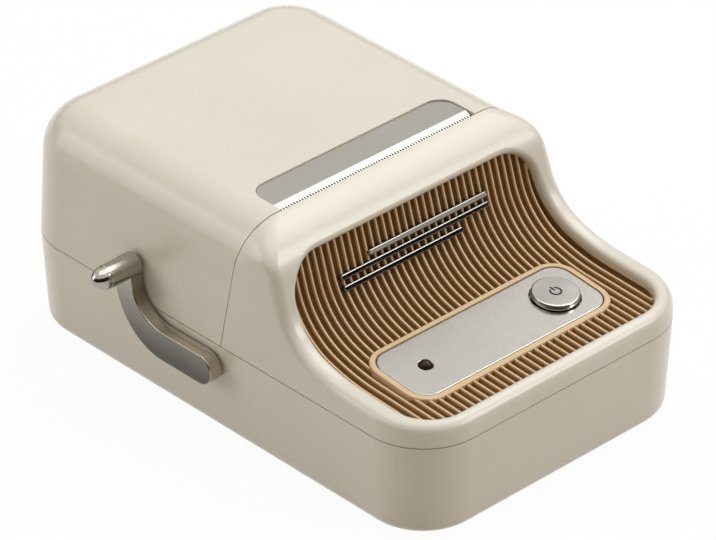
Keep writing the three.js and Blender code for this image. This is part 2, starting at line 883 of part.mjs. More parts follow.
function noseShell() {
  const collar = sunkBlock(
    swoop, bodyWidth, openTop, bodyLength, overlap, overlap, [[0, -collarDepth], [0, collarDepth]]);
  const ahead = aheadOfSeam(seamGap / 2);
  const region = upperHalf.intersect(ahead);
  let shell = outerBody.intersect(region).subtract(innerBody.subtract(collar));
  shell = shell.subtract(openingCutter()).subtract(panelRoom());
  const slotLow = topZ - wall - overlap;
  const paperSlot = slabX(polygon([
    [seamY(slotLow) - slotWidth, slotLow], [seamY(slotLow) + slotWidth, slotLow],
    [seamY(reach) + slotWidth, reach], [seamY(reach) - slotWidth, reach],
  ]), -bladeHalf - fitGap, bladeHalf + fitGap);
  shell = shell.subtract(paperSlot);
  for (const side of [-1, 1]) {
    const x = side * sideScrewX;
    const low = partingZ + seamGap / 2;
    const boss = rodZ(bossRadius, low, noseBossTop, x, sideScrewY);
    const webIn = Math.min(x, side * (halfWidth - wall / 2));
    const webOut = Math.max(x, side * (halfWidth - wall / 2));
    const web = box(webIn, webOut, sideScrewY - wall / 2, sideScrewY + wall / 2, low, noseBossTop);
    const pilot = rodZ(screwRadius + fitGap, low - overlap, noseBossTop - overlap, x, sideScrewY);
    shell = shell.add(boss).add(web.intersect(outerBody)).subtract(pilot);
    shell = shell.add(noseTongue(side));
  }
  return shell;
}

// Tongue that hooks the nose shell behind the base's front wall.
function noseTongue(side) {
  const nearWall = frontY + wall + 2 * fitGap;
  const x0 = side * tongueX - tongueWide / 2;
  const collarFoot = deckZ - deckRun * Math.tan(rad(deckDeg)) - collarDepth;
  const tongueTop = Math.max(collarFoot, partingZ) + tongueThick;
  return box(x0, x0 + tongueWide, nearWall, nearWall + tongueThick, tongueFoot, tongueTop);
}

addPart('nose_shell', noseShell(), shellCream());

// Ribbed panel: light ridges that run down the swoop over darker grooves.
function ribComb(from, to) {
  const outline = [];
  for (let i = 0; i < ribCount; i += 1) {
    const x = (i - (ribCount - 1) / 2) * ribPitch;
    outline.push([x - ribPitch / 2, grooveDepth], [x - ribTopWidth / 2, ribDepth]);
    outline.push([x + ribTopWidth / 2, ribDepth]);
  }
  const edge = ribCount * ribPitch / 2;
  outline.push([edge, grooveDepth], [edge, panelDepth], [-edge, panelDepth]);
  const marks = panelLine.steps(from, to, ribTurn);
  const size = outline.length;
  const positions = [];
  for (const s of marks) {
    const point = panelLine.at(s);
    for (const [x, depth] of outline) {
      positions.push(x, point.y + Math.sin(point.slope) * depth, point.z - Math.cos(point.slope) * depth);
    }
  }
  const index = [];
  for (let i = 0; i + 1 < marks.length; i += 1) {
    for (let k = 0; k < size; k += 1) {
      const next = (k + 1) % size;
      const [a, b] = [i * size + k, i * size + next];
      index.push(a, b, b + size, a, b + size, a + size);
    }
  }
  const flat = outline.map(([x, depth]) => new THREE.Vector2(x, depth));
  const last = (marks.length - 1) * size;
  for (const [a, b, c] of THREE.ShapeUtils.triangulateShape(flat, [])) {
    index.push(a, c, b, last + a, last + b, last + c);
  }
  return closedFrom(positions, index);
}

function ribbedPanel() {
  const front = openFront - panelGap;
  const half = openHalf - panelGap;
  const topRadius = openTopRadius - panelGap;
  const frontRadius = openFrontRadius - panelGap;
  const outline = sunkBlock(
    panelLine, half, openTop + panelGap, front, topRadius, frontRadius,
    [[0, ribDepth - overlap], [0, panelDepth + overlap]]);
  let panel = ribComb(openTop - overlap, front + overlap).intersect(outline);
  const flange = sunkBlock(
    panelLine, flangeHalf, flangeTop, front, overlap, frontRadius,
    [[0, panelDepth - flangeLap], [0, flangeDepth]]);
  const pad = onPlate(slabZ(roundedRect(
    plateHalfX + trayRail + padGrow, plateHalfY + trayRail + padGrow, plateCorner + trayRail),
  -padDrop, -trayDrop + overlap));
  const pocket = onPlate(slabZ(roundedRect(
    plateHalfX + trayRail + fitGap, plateHalfY + trayRail + fitGap, plateCorner + trayRail + fitGap),
  -trayDrop - fitGap, reach, 6));
  const window = onPlate(slabZ(roundedRect(
    plateHalfX + trayRail - trayLedge, plateHalfY + trayRail - trayLedge, plateCorner), -reach, reach));
  panel = panel.add(flange).add(pad).subtract(pocket).subtract(window);
  for (const sx of [-1, 1]) {
    for (const sy of [-1, 1]) {
      const post = rodZ(boardPostRadius, -boardTop + fitGap, -padDrop + overlap,
        sx * boardPostX, sy * boardPostY, 10);
      panel = panel.add(onPlate(post));
    }
  }
  const holes = trimPlaces().map((place) => trimStuds(place, trimStudRadius + fitGap, overlap));
  return panel.subtract(joined(holes));
}

// Where each trim bar lies on the panel, and how long it is.
function trimPlaces() {
  return trimSteps.map((s, i) => {
    const point = panelLine.at(s);
    const frame = new THREE.Matrix4()
      .makeRotationX(point.slope)
      .setPosition(trimLength * trimShiftShares[i], point.y, point.z);
    return { frame, length: trimLength * trimLengthShares[i] };
  });
}

// The two studs behind a trim bar, or with a wider radius the holes that they drop into.
function trimStuds({ frame, length }, radius, sink) {
  const studs = [-length / 3, length / 3].map((x) => rodZ(
    radius, -grooveDepth - sink, trimBackFace + overlap / 2, x, 0, 6));
  return moved(joined(studs), frame);
}

function trimBars() {
  return trimPlaces().map((place) => {
    const shape = roundedRect(place.length / 2, trimHeight / 2, trimHeight / 2.2);
    const bar = chamferedZ(shape, trimBackFace, trimBackFace + trimDepth, trimHeight / 4, 2);
    return trimStuds(place, trimStudRadius, -fitGap).add(moved(bar, place.frame));
  });
}

// A plate pulled along Z whose two rims are chamfered.
function chamferedZ(shape, z0, z1, chamfer, segments = 6) {
  const geometry = new THREE.ExtrudeGeometry(shape, {
    depth: z1 - z0 - 2 * chamfer,
    bevelEnabled: true,
    bevelThickness: chamfer,
    bevelSize: chamfer,
    bevelOffset: -chamfer,
    bevelSegments: 1,
    curveSegments: segments,
  });
  geometry.translate(0, 0, z0 + chamfer);
  return solid(geometry);
}

addPart('ribbed_panel', ribbedPanel(), paint(0xa9855a, 0.6, 0));
addParts('trim_bar', ['upper', 'middle', 'lower'], trimBars(), chrome);

// Tray frame around the control plate, with its pocket, button well and lens hole.
function trayFrame() {
  const outer = roundedRect(plateHalfX + trayRail, plateHalfY + trayRail, plateCorner + trayRail);
  const pocket = roundedRect(plateHalfX + fitGap, plateHalfY + fitGap, plateCorner + fitGap);
  const frame = chamferedZ(outer, -trayDrop, trayRound / 3, trayRound, 4)
    .subtract(slabZ(pocket, -plateThick - fitGap, reach, 4))
    .subtract(rodZ(buttonFlange + fitGap, -buttonWell, reach, buttonX, 0, 24))
    .subtract(rodZ(stemRadius + fitGap, -reach, reach, buttonX, 0))
    .subtract(rodZ(lensRadius + fitGap, -reach, reach, lensX, 0));
  return onPlate(frame);
}

function controlPlate() {
  const outline = roundedRect(plateHalfX, plateHalfY, plateCorner);
  const plate = chamferedZ(outline, -plateThick, 0, plateChamfer, 4)
    .subtract(rodZ(buttonRadius + fitGap, -reach, reach, buttonX, 0, 24))
    .subtract(rodZ(lensRadius + fitGap / 2, -reach, reach, lensX, 0));
  return onPlate(plate);
}

function turned(profile, sides) {
  const points = profile.map(([r, z]) => new THREE.Vector2(r, z));
  const geometry = new THREE.LatheGeometry(points, sides);
  geometry.rotateX(Math.PI / 2);
  return solid(geometry);
}

function powerButton() {
  const profile = [
    [0, -stemFoot], [stemTipRadius, -stemFoot], [stemTipRadius, -switchTop + buttonTravel],
    [stemRadius, -switchTop + buttonTravel], [stemRadius, -buttonFlangeFoot],
    [buttonFlange, -buttonFlangeFoot], [buttonFlange, -buttonFlangeTop], [buttonRadius, -buttonFlangeTop],
    [buttonRadius, buttonProud * 0.7], [buttonTopRadius, buttonProud], [0, buttonProud],
  ];
  return moved(turned(profile, 20), new THREE.Matrix4().makeTranslation(buttonX, 0, 0));
}

function indicatorLens() {
  const profile = [
    [0, -lensFoot], [lensRadius, -lensFoot], [lensRadius, 0],
    [lensRadius * 0.6, lensDome * 0.75], [0, lensDome],
  ];
  return moved(turned(profile, 16), new THREE.Matrix4().makeTranslation(lensX, 0, 0));
}

addPart('tray_frame', trayFrame(), paint(0xcfae83, 0.5, 0));
addPart('control_plate', controlPlate(), paint(0xc4c1bb, 0.35, 0.9));
addPart('power_button', onPlate(powerButton()), paint(0xcac8c3, 0.22, 1));
addPart('indicator_lens', onPlate(indicatorLens()), paint(0x2a241a, 0.15, 0));

// Control board under the panel, with the switch and the lamp on it.
function controlBoard() {
  const outline = roundedRect(boardHalfX, boardHalfY, 1.2 * boardThick);
  return onPlate(slabZ(outline, -boardTop - boardThick, -boardTop));
}

function buttonSwitch() {
  const outline = roundedRect(switchHalf, switchHalf, stemTipRadius / 2, buttonX, 0);
  const body = slabZ(outline, -switchFoot, -switchTop)
    .subtract(rodZ(stemTipRadius + fitGap, -switchWell, reach, buttonX, 0));
  return onPlate(body);
}

addPart('control_board', controlBoard(), paint(0x1f5a3a, 0.5, 0));
addPart('button_switch', buttonSwitch(), darkPlastic());
addPart('indicator_lamp', onPlate(rodZ(lensRadius * 0.8, -switchFoot, -lensFoot - fitGap, lensX, 0, 12)),
  paint(0xe8efe2, 0.2, 0));

// Lid shell with the blade's pocket, the hinge barrel and the holes of the catch pins.
function lidShell() {
  const ahead = aheadOfSeam(-seamGap / 2);
  let shell = outerBody.intersect(upperHalf).subtract(ahead).subtract(innerBody);
  const barrel = rodX(barrelRadius, -barrelHalf, barrelHalf, hingeY, hingeZ, 20);
  const rearCorner = slabX(polygon([
    [hingeY, -reach], [reach, -reach], [reach, hingeZ], [hingeY, hingeZ],
  ]), -reach, reach).subtract(rodX(barrelRadius, -reach, reach, hingeY, hingeZ, 20));
  shell = shell.subtract(rearCorner).add(barrel.intersect(outerBody));
  for (const side of [-1, 1]) {
    const x0 = side * earX - earHalf - earGap;
    const x1 = side * earX + earHalf + earGap;
    shell = shell.subtract(rodX(barrelRadius + earGap, x0, x1, hingeY, hingeZ, 20));
    shell = shell.subtract(box(x0, x1, earFootY - earGap, reach, -reach, hingeZ));
    const pinHole = side > 0
      ? rodX(catchRadius + runGap, catchInnerX, catchOuterX + fitGap, catchY, catchZ)
      : rodX(catchRadius + runGap, -catchOuterX - fitGap, -catchInnerX, catchY, catchZ);
    shell = shell.subtract(pinHole);
  }
  const pinEnd = hingePinHalf + fitGap;
  shell = shell.subtract(rodX(hingePinRadius + runGap, -pinEnd, pinEnd, hingeY, hingeZ));
  const pocketFloor = bladeTop - bladeThick - fitGap;
  const pocket = new THREE.Shape();
  const half = bladeHalf + fitGap;
  const back = bladeBackY + fitGap;
  const corner = bladeCorner + fitGap;
  pocket.moveTo(-half, -reach);
  pocket.lineTo(half, -reach);
  pocket.absarc(half - corner, back - corner, corner, 0, Math.PI / 2, false);
  pocket.absarc(-half + corner, back - corner, corner, Math.PI / 2, Math.PI, false);
  pocket.closePath();
  shell = shell.subtract(slabZ(pocket, pocketFloor, reach, 6));
  for (const x of carrierScrewX) {
    shell = shell.subtract(rodZ(screwRadius + fitGap, -reach, carrierScrewTop + fitGap, x, carrierScrewY));
  }
  return shell;
}

// Tear blade: flat back, bevelled nose and a row of fine teeth.
function tearBlade() {
  const teeth = Math.floor(2 * bladeHalf / toothPitch);
  const shape = new THREE.Shape();
  const cornerX = bladeHalf - bladeCorner;
  const cornerY = bladeBackY - bladeCorner;
  shape.absarc(cornerX, cornerY, bladeCorner, 0, Math.PI / 2, false);
  shape.absarc(-cornerX, cornerY, bladeCorner, Math.PI / 2, Math.PI, false);
  const margin = bladeHalf - teeth * toothPitch / 2;
  shape.lineTo(-bladeHalf, bladeEdgeY + toothDepth);
  for (let i = 0; i < teeth; i += 1) {
    const x = -bladeHalf + margin + i * toothPitch;
    shape.lineTo(x, bladeEdgeY + toothDepth);
    shape.lineTo(x + toothPitch / 2, bladeEdgeY);
  }
  shape.lineTo(bladeHalf - margin, bladeEdgeY + toothDepth);
  shape.lineTo(bladeHalf, bladeEdgeY + toothDepth);
  shape.closePath();
  const sheet = slabZ(shape, bladeTop - bladeThick, bladeTop, 8);
  const fall = (bladeThick - bladeEdgeThick) / (bladeBendY - bladeEdgeY);
  const bevel = slabX(polygon([
    [bladeBendY, bladeTop], [bladeBendY - reach, bladeTop - fall * reach], [bladeBendY - reach, reach],
    [bladeBendY, reach],
  ]), -reach, reach);
  return sheet.subtract(bevel);
}

addPart('lid_shell', lidShell(), shellCream());
addPart('tear_blade', tearBlade(), paint(0xb4b2ae, 0.32, 1));

// Catch pins in the lid's side walls, one for each latch hook.
function catchPins() {
  return [
    rodX(catchRadius, -catchOuterX, -catchInnerX, catchY, catchZ),
    rodX(catchRadius, catchInnerX, catchOuterX, catchY, catchZ),
  ];
}

addParts('catch_pin', leftRight, catchPins(), steel);

// Platen carrier: two cheeks on a beam that is screwed under the lid.
function carrierCheek(x0) {
  const outline = polygon([
    [platenY - cheekFront, platenZ - cheekChin], [platenY + cheekHeelY, platenZ - cheekHeel],
    [beamY + beamThick, platenZ - cheekFoot], [beamY + beamThick, carrierTop],
    [platenY + cheekCrown, carrierTop], [platenY - cheekFront, platenZ + cheekBrow],
  ]);
  return slabX(outline, x0, x0 + cheekOuterX - cheekInnerX);
}

function carrierRib(x) {
  const outline = polygon([
    [beamY, platenZ], [beamY + beamThick, platenZ], [carrierBackY, carrierTop - beamThick / 2],
    [beamY, carrierTop - beamThick / 2],
  ]);
  return slabX(outline, x - beamThick / 2, x + beamThick / 2);
}

function platenCarrier() {
  let carrier = joined([
    box(-cheekOuterX, cheekOuterX, beamY, beamY + beamThick, beamFoot, carrierTop),
    box(-cheekOuterX, cheekOuterX, beamY, carrierBackY, carrierTop - beamThick, carrierTop),
    carrierCheek(-cheekOuterX), carrierCheek(cheekInnerX),
    ...[-carrierRibX, 0, carrierRibX].map(carrierRib),
  ]).subtract(rodX(bushRadius + runGap, -reach, reach, platenY, platenZ, 16));
  const bite = screwHeadRadius + fitGap;
  for (const x of carrierScrewX) {
    carrier = carrier
      .subtract(rodZ(screwRadius + fitGap, platenZ, reach, x, carrierScrewY))
      .subtract(rodZ(bite, platenZ, carrierTop - beamThick / 2, x, carrierScrewY));
  }
  return carrier;
}

function carrierScrews() {
  return carrierScrewX.map((x) => {
    const head = carrierTop - beamThick / 2 - fitGap / 3;
    return rodZ(screwRadius, head - screwHeadThick / 2, carrierScrewTop, x, carrierScrewY, 12)
      .add(rodZ(screwHeadRadius, head - screwHeadThick, head, x, carrierScrewY));
  });
}

function platenBushes() {
  const bush = (x0, x1, flange0, flange1) => rodX(bushRadius, x0, x1, platenY, platenZ, 16)
    .add(rodX(bushRadius + bushFlange, flange0, flange1, platenY, platenZ, 16))
    .subtract(rodX(platenShaftRadius + runGap, -reach, reach, platenY, platenZ, 16));
  const out = cheekOuterX + fitGap / 3;
  return [
    bush(-out - bushFlange, -cheekInnerX, -out - bushFlange, -out),
    bush(cheekInnerX, out + bushFlange, out, out + bushFlange),
  ];
}

addPart('platen_carrier', platenCarrier(), darkPlastic());
addParts('carrier_screw', leftRight, carrierScrews(), steel);
addParts('platen_bush', leftRight, platenBushes(), () => paint(0x8f8a80, 0.4, 0.6));

// Toothed wheels. The outline has straight flanks, narrow enough to run clear in mesh.
function gearOutline(teeth, module, phase, y = 0, z = 0) {
  const pitch = teeth * module / 2;
  const step = 2 * Math.PI / teeth;
  const rootShare = 0.3;
  const tipShare = 0.1;
  const at = (radius, angle) => [y + radius * Math.cos(angle), z + radius * Math.sin(angle)];
  const root = pitch - 1.15 * module;
  const tip = pitch + 0.8 * module;
  const points = [];
  for (let i = 0; i < teeth; i += 1) {
    const middle = phase + i * step;
    points.push(at(root, middle - rootShare * step), at(tip, middle - tipShare * step));
    points.push(at(tip, middle + tipShare * step), at(root, middle + rootShare * step));
  }
  return polygon(points);
}

// Angle of a tooth on the second wheel, so that its gap takes the first wheel's tooth.
function meshPhase(phase, teeth, direction, otherTeeth) {
  const step = 2 * Math.PI / teeth;
  const offset = (direction - phase) - step * Math.round((direction - phase) / step);
  return direction + Math.PI + offset * teeth / otherTeeth + Math.PI / otherTeeth;
}

const idlerPhase = 0;
const towardsPlaten = Math.atan2(platenZ - idlerZ, platenY - idlerY);
const towardsPinion = Math.atan2(pinionZ - idlerZ, pinionY - idlerY);

function gearX(teeth, phase, y, z, bore) {
  return slabX(gearOutline(teeth, gearModule, phase, y, z), gearInnerX, gearOuterX)
    .subtract(rodX(bore, -reach, reach, y, z));
}

function platenRoller() {
  return rodX(platenRadius, -platenHalf, platenHalf, platenY, platenZ, 28)
    .subtract(rodX(platenShaftRadius + runGap, -reach, reach, platenY, platenZ, 16));
}

function platenShaft() {
  const left = -cheekOuterX - axleRadius;
  return rodX(platenShaftRadius, left, gearOuterX + fitGap, platenY, platenZ, 16);
}

function platenGear() {
  const phase = meshPhase(idlerPhase, idlerTeeth, towardsPlaten, platenTeeth);
  return gearX(platenTeeth, phase, platenY, platenZ, platenShaftRadius + runGap);
}

function idlerGear() {
  return gearX(idlerTeeth, idlerPhase, idlerY, idlerZ, axleRadius + runGap);
}

function motorPinion() {
  const phase = meshPhase(idlerPhase, idlerTeeth, towardsPinion, pinionTeeth);
  return gearX(pinionTeeth, phase, pinionY, pinionZ, motorShaftRadius + runGap);
}

const gearPlastic = () => paint(0xe8e4d8, 0.5, 0);

addPart('platen_shaft', platenShaft(), steel());
addPart('platen_roller', platenRoller(), paint(0x26262a, 0.85, 0));
addPart('platen_gear', platenGear(), gearPlastic());
addPart('idler_gear', idlerGear(), gearPlastic());
addPart('motor_pinion', motorPinion(), paint(0xc0a15a, 0.35, 1));

// Stepper motor: round can, square-cornered flange and shaft.
function stepperMotor() {
  const flangeWide = motorRadius * flangeWideShare;
  const outline = roundedRect(
    flangeWide, motorRadius * flangeTallShare, 0.9 * flangeWide, pinionY, pinionZ);
  const shaftTail = motorBackX - motorShaftRadius;
  return rodX(motorRadius, motorBackX, motorFaceX, pinionY, pinionZ, 24)
    .add(rodX(motorShaftRadius, shaftTail, gearOuterX + fitGap, pinionY, pinionZ, 12))
    .add(slabX(outline, motorFaceX - motorShaftRadius, motorFaceX));
}

// Side plates of the print mechanism: steel sheets that stand on the floor ahead of the seam.
function sidePlate(x0, tabX) {
  const foot = floorZ + fitGap;
  const behind = (z) => [seamY(z) - fitGap, z];
  const outline = polygon([
    [pinionY - plateFrontReach, foot], [plateRearY, foot], [plateRearY, plateHipZ],
    behind(platenZ - plateSeamDrop), behind(platenZ + plateCrownRise),
    [plateNeckY, platenZ + plateCrownRise], [plateNeckY, platenZ - plateNeckDrop],
    [pinionY, platenZ - plateShelfDrop], [pinionY - plateFrontReach, plateKneeZ],
  ]);
  const tab = box(tabX, tabX + plateTabWide + overlap, pinionY - plateTabFront, pinionY + plateTabBack,
    foot, foot + plateTabThick);
  return slabX(outline, x0, x0 + sidePlateOuter - sidePlateInner).add(tab);
}

function gearPlate() {
  return sidePlate(sidePlateInner, sidePlateOuter - overlap)
    .subtract(rodX(motorShaftRadius + pinionHole, -reach, reach, pinionY, pinionZ))
    .subtract(rodX(axleRadius + runGap, -reach, reach, idlerY, idlerZ));
}

function leftPlate() {
  const window = slabX(
    roundedRect(plateWindowY, plateWindowZ, plateWindowCorner, pinionY, pinionZ), -reach, reach);
  return sidePlate(-sidePlateOuter, -sidePlateOuter - plateTabWide).subtract(window);
}

function idlerAxle() {
  const end = gearOuterX + axleCollar;
  return rodX(axleRadius, sidePlateInner - fitGap / 3, end, idlerY, idlerZ)
    .add(rodX(axleRadius * 1.5, gearOuterX + fitGap, end, idlerY, idlerZ));
}

addPart('stepper_motor', stepperMotor(), paint(0x8c8d90, 0.4, 0.9));
addPart('gear_plate', gearPlate(), steel());
addPart('left_plate', leftPlate(), steel());
addPart('idler_axle', idlerAxle(), steel());

// Print head, built in its own frame: x across, y up the seam plane, z away from the platen.
const headUp = new THREE.Vector3(0, -seamLean, 1).normalize();
const headOut = new THREE.Vector3(0, -headUp.z, headUp.y);
const headFace = new THREE.Vector3(0, platenY, platenZ).addScaledVector(headOut, platenRadius + fitGap);
const headFrame = new THREE.Matrix4()
  .makeBasis(new THREE.Vector3(1, 0, 0), headUp, headOut)
  .setPosition(headFace);
const onHead = (body) => moved(body, headFrame);

function headCeramic() {
  return onHead(box(-headHalf, headHalf, -headBelow, headAbove, 0, ceramicThick));
}

function headSink() {
  const z0 = ceramicThick + fitGap;
  let sink = box(-headHalf, headHalf, -headBelow, headAbove - 1.6 * finThick, z0, z0 + sinkThick);
  for (let y = -headBelow + 1.6 * finThick; y < headAbove - 3 * finThick; y += 2.2 * finThick) {
    sink = sink.subtract(box(-reach, reach, y, y + finThick, z0 + sinkThick / 2, reach));
  }
  return onHead(sink);
}

function headBracket() {
  const z0 = ceramicThick + sinkThick + 2 * fitGap;
  const z1 = z0 + bracketThick;
  const half = sidePlateInner - fitGap;
  const low = -headBelow - fitGap;
  const back = box(-half, half, low - bracketThick, headAbove - 1.6 * finThick, z0, z1);
  const sill = box(-half, half, low - bracketThick, low, 0, z1);
  const windows = [-half / 2, half / 2].map((x) => box(x - bracketWindow, x + bracketWindow,
    -headBelow + 5 * bracketThick, headAbove - 5 * bracketThick, z0 - overlap, reach));
  return onHead(back.add(sill).subtract(joined(windows)));
}

class CoilCurve extends THREE.Curve {
  constructor(radius, pitch, turns) {
    super();
    Object.assign(this, { radius, pitch, turns });
  }

  getPoint(t) {
    const angle = 2 * Math.PI * this.turns * t;
    return new THREE.Vector3(
      this.radius * Math.cos(angle), this.radius * Math.sin(angle), this.pitch * this.turns * t);
  }
}

// A coil spring of round wire along +Z.
function coil(radius, pitch, turns, wire) {
  const ring = new THREE.Shape();
  ring.absarc(0, 0, wire, 0, 2 * Math.PI, false);
  const geometry = new THREE.ExtrudeGeometry(ring, {
    extrudePath: new CoilCurve(radius, pitch, turns), steps: Math.round(7 * turns), curveSegments: 3,
    bevelEnabled: false,
  });
  return solid(geometry);
}

function headSprings() {
  const z0 = ceramicThick + sinkThick + 2 * fitGap + bracketThick + fitGap + springWire;
  return [-1, 1].map((side) => {
    const place = new THREE.Matrix4().makeTranslation(side * springX, springDrop, z0);
    return moved(coil(springRadius, headSpringPitch, 3, springWire), headFrame.clone().multiply(place));
  });
}

function gapSensor() {
  const y1 = -headBelow - 2 * fitGap - bracketThick;
  return onHead(box(-sensorHalf, sensorHalf, y1 - sensorTall, y1, ceramicThick / 2, sensorTall));
}

addPart('head_ceramic', headCeramic(), paint(0x1f1c1a, 0.2, 0));
addPart('head_sink', headSink(), paint(0xa9abad, 0.4, 1));
addPart('head_bracket', headBracket(), steel());
addParts('head_spring', leftRight, headSprings(), steel);
addPart('gap_sensor', gapSensor(), darkPlastic());

// Lever arm: a flat bar that runs back from its pivot and bends up to the knob.
const leverPath = chain({ y: leverY, z: leverZ, slope: Math.PI }, [
  { length: leverRun },
  { length: leverBendRadius * rad(leverBendDeg), radius: leverBendRadius },
  { length: leverRise },
]);
const leverEnd = leverPath.at(leverPath.total);
const knobY = leverEnd.y + knobShiftY;
const knobZ = leverEnd.z;

function leverArm() {
  const front = [];
  const back = [];
  const marks = leverPath.steps(0, leverPath.total, rad(12));
  for (const s of marks) {
    const point = leverPath.at(s);
    const share = THREE.MathUtils.smoothstep(s, leverRun, leverPath.total);
    const half = THREE.MathUtils.lerp(leverHalfWidth, leverEndHalfWidth, share);
    front.push([point.y - half * Math.sin(point.slope), point.z + half * Math.cos(point.slope)]);
    back.push([point.y + half * Math.sin(point.slope), point.z - half * Math.cos(point.slope)]);
  }
  const pivotEnd = roundEnd(leverY, leverZ, leverHalfWidth, Math.PI / 2, 1.5 * Math.PI);
  const knobEnd = roundEnd(knobY, knobZ, knobRadius + overlap / 2, -Math.PI / 6, Math.PI + Math.PI / 8);
  const outline = [...pivotEnd, ...front.slice(1, -1), ...knobEnd, ...back.slice(1, -1).reverse()];
  const ordered = THREE.ShapeUtils.isClockWise(outline.map(([a, b]) => new THREE.Vector2(a, b)))
    ? outline.reverse() : outline;
  const arm = slabX(polygon(ordered), leverOuterX, leverOuterX + leverThick, 6, leverChamfer);
  const groove = rodX(shaftRadius + runGap, leverOuterX + leverThick / 3, reach, leverY, leverZ, 16);
  return arm.subtract(groove);
}

// Points on the round end of a flat bar.
function roundEnd(y, z, radius, from, to) {
  const points = [];
  const steps = 7;
  for (let i = 0; i <= steps; i += 1) {
    const angle = from + (to - from) * (i / steps);
    points.push([y + radius * Math.cos(angle), z + radius * Math.sin(angle)]);
  }
  return points;
}

function leverKnob() {
  const inner = leverOuterX - fitGap;
  const profile = [
    [0, 0], [knobRadius, 0], [knobRadius, knobLength - fitGap],
    [knobRadius - knobGroove, knobLength - fitGap], [knobRadius - knobGroove, knobLength],
    [knobRadius, knobLength],
    [knobRadius * 0.92, knobLength + knobDome * 0.42], [knobRadius * 0.68, knobLength + knobDome * 0.77],
    [knobRadius * 0.35, knobLength + knobDome * 0.95], [0, knobLength + knobDome],
  ];
  const turn = new THREE.Matrix4().makeRotationY(-Math.PI / 2).setPosition(inner + fitGap, knobY, knobZ);
  const body = moved(turned(profile, 20), turn);
  return body;
}

function latchShaft() {
  const left = leverOuterX + leverThick / 3 + fitGap;
  return rodX(shaftRadius, left, hookInnerX + hookThick, leverY, leverZ, 16);
}

addPart('lever_arm', leverArm(), paint(0x77736d, 0.35, 1));
addPart('lever_knob', leverKnob(), paint(0xd2d0cb, 0.12, 1));
addPart('latch_shaft', latchShaft(), steel());

// Latch hook: a flat steel claw on the shaft whose nose reaches over the lid's catch pin.
function latchHook(x0) {
  const claw = polygon([
    [leverY + hookBossRadius * 0.6, leverZ - hookBossRadius * 0.5],
    [hookStemY + hookStemWide, leverZ + hookBossRadius],
    [hookStemY + hookStemWide, hookTopZ - overlap], [hookStemY + hookStemWide - overlap, hookTopZ],
    [hookNoseY + overlap, hookTopZ], [hookNoseY, hookTopZ - overlap], [hookNoseY, hookNoseZ],
    [hookStemY, hookNoseZ], [hookStemY, leverZ + hookBossRadius],
    [leverY - hookBossRadius * 0.6, leverZ + hookBossRadius * 0.7],
  ]);
  return slabX(claw, x0, x0 + hookThick)
    .add(rodX(hookBossRadius, x0, x0 + hookThick, leverY, leverZ, 16))
    .subtract(rodX(shaftRadius + runGap, -reach, reach, leverY, leverZ, 16));
}

addPart('latch_right', latchHook(hookInnerX), steel());
addPart('latch_left', latchHook(-hookInnerX - hookThick), steel());

// Return spring of the lever: a coil round the shaft.
function leverSpring() {
  const turn = new THREE.Matrix4().makeRotationY(Math.PI / 2)
    .setPosition(-hookInnerX + springRadius, leverY, leverZ);
  return moved(coil(shaftRadius + 3 * springWire, leverSpringPitch, 3, springWire), turn);
}

addPart('lever_spring', leverSpring(), steel());

// Base shell: lower half of the housing with its posts, bosses, hinge ears and socket hole.
function baseShell() {
  let shell = outerBody.intersect(lowerHalf).subtract(innerBody);
  for (const side of [-1, 1]) {
    const x = side * sideScrewX;
    shell = shell.add(rodZ(bossRadius, floorZ - overlap, baseBossTop, x, sideScrewY));
    shell = shell.subtract(rodZ(screwRadius + fitGap, -reach, baseBossTop + overlap, x, sideScrewY, 12));
    shell = shell.subtract(rodZ(screwHeadRadius + fitGap, -reach, screwSeatZ, x, sideScrewY));
    const x0 = side > 0 ? postInnerX : -postOuterX;
    const post = polygon([
      [leverY - postHalf, floorZ - overlap], [leverY + postHalf, floorZ - overlap],
      [leverY + postHalf, postTop - postHalf / 2], [leverY + postHalf / 2, postTop],
      [leverY - postHalf / 2, postTop], [leverY - postHalf, postTop - postHalf / 2],
    ]);
    shell = shell.add(slabX(post, x0, x0 + postOuterX - postInnerX));
    shell = shell.add(hingeEar(side));
  }
  shell = shell.subtract(rodX(shaftRadius + runGap, -reach, postOuterX + overlap, leverY, leverZ, 16));
  shell = shell.subtract(rodX(hingePinRadius + runGap, -hingePinHalf, hingePinHalf, hingeY, hingeZ));
  shell = shell.subtract(solidAlongY(socketOutline(fitGap), socketBackY - socketLength, reach));
  for (const x of [-footX, footX]) {
    for (const y of [footFrontY, footBackY]) {
      shell = shell.subtract(rodZ(footRadius + fitGap, -reach, underZ + footSink, x, y, 16));
    }
  }
  for (const [x, y] of boardPosts()) {
    shell = shell.add(rodZ(boardPostRadius + fitGap, floorZ - overlap, boardFoot - fitGap, x, y, 8));
  }
  shell = shell.add(rodZ(pinionPostRadius, floorZ - overlap, rackTop + fitGap, 0, rollY, 16));
  const socketPostTop = socketBoardZ - boardThick - fitGap;
  for (const x of [-socketPostX, socketPostX]) {
    const post = rodZ(boardPostRadius + fitGap, floorZ - overlap, socketPostTop, x, socketPostY, 10);
    shell = shell.add(post);
  }
  return shell;
}

function boardPosts() {
  const inset = 2 * boardThick;
  return [-1, 1].flatMap((sx) => [-1, 1].map((sy) => [
    mainBoardX + sx * (mainBoardHalfX - inset), mainBoardY + sy * (mainBoardHalfY - inset)]));
}

function hingeEar(side) {
  const x0 = side * earX - earHalf;
  const x1 = side * earX + earHalf;
  const wallY = backY - wall / 2 - overlap;
  return rodX(barrelRadius, x0, x1, hingeY, hingeZ, 20)
    .add(box(x0, x1, earFootY, hingeY, earFootZ, hingeZ))
    .add(box(x0, x1, earFootY, wallY, earFootZ, partingZ - seamGap / 2));
}

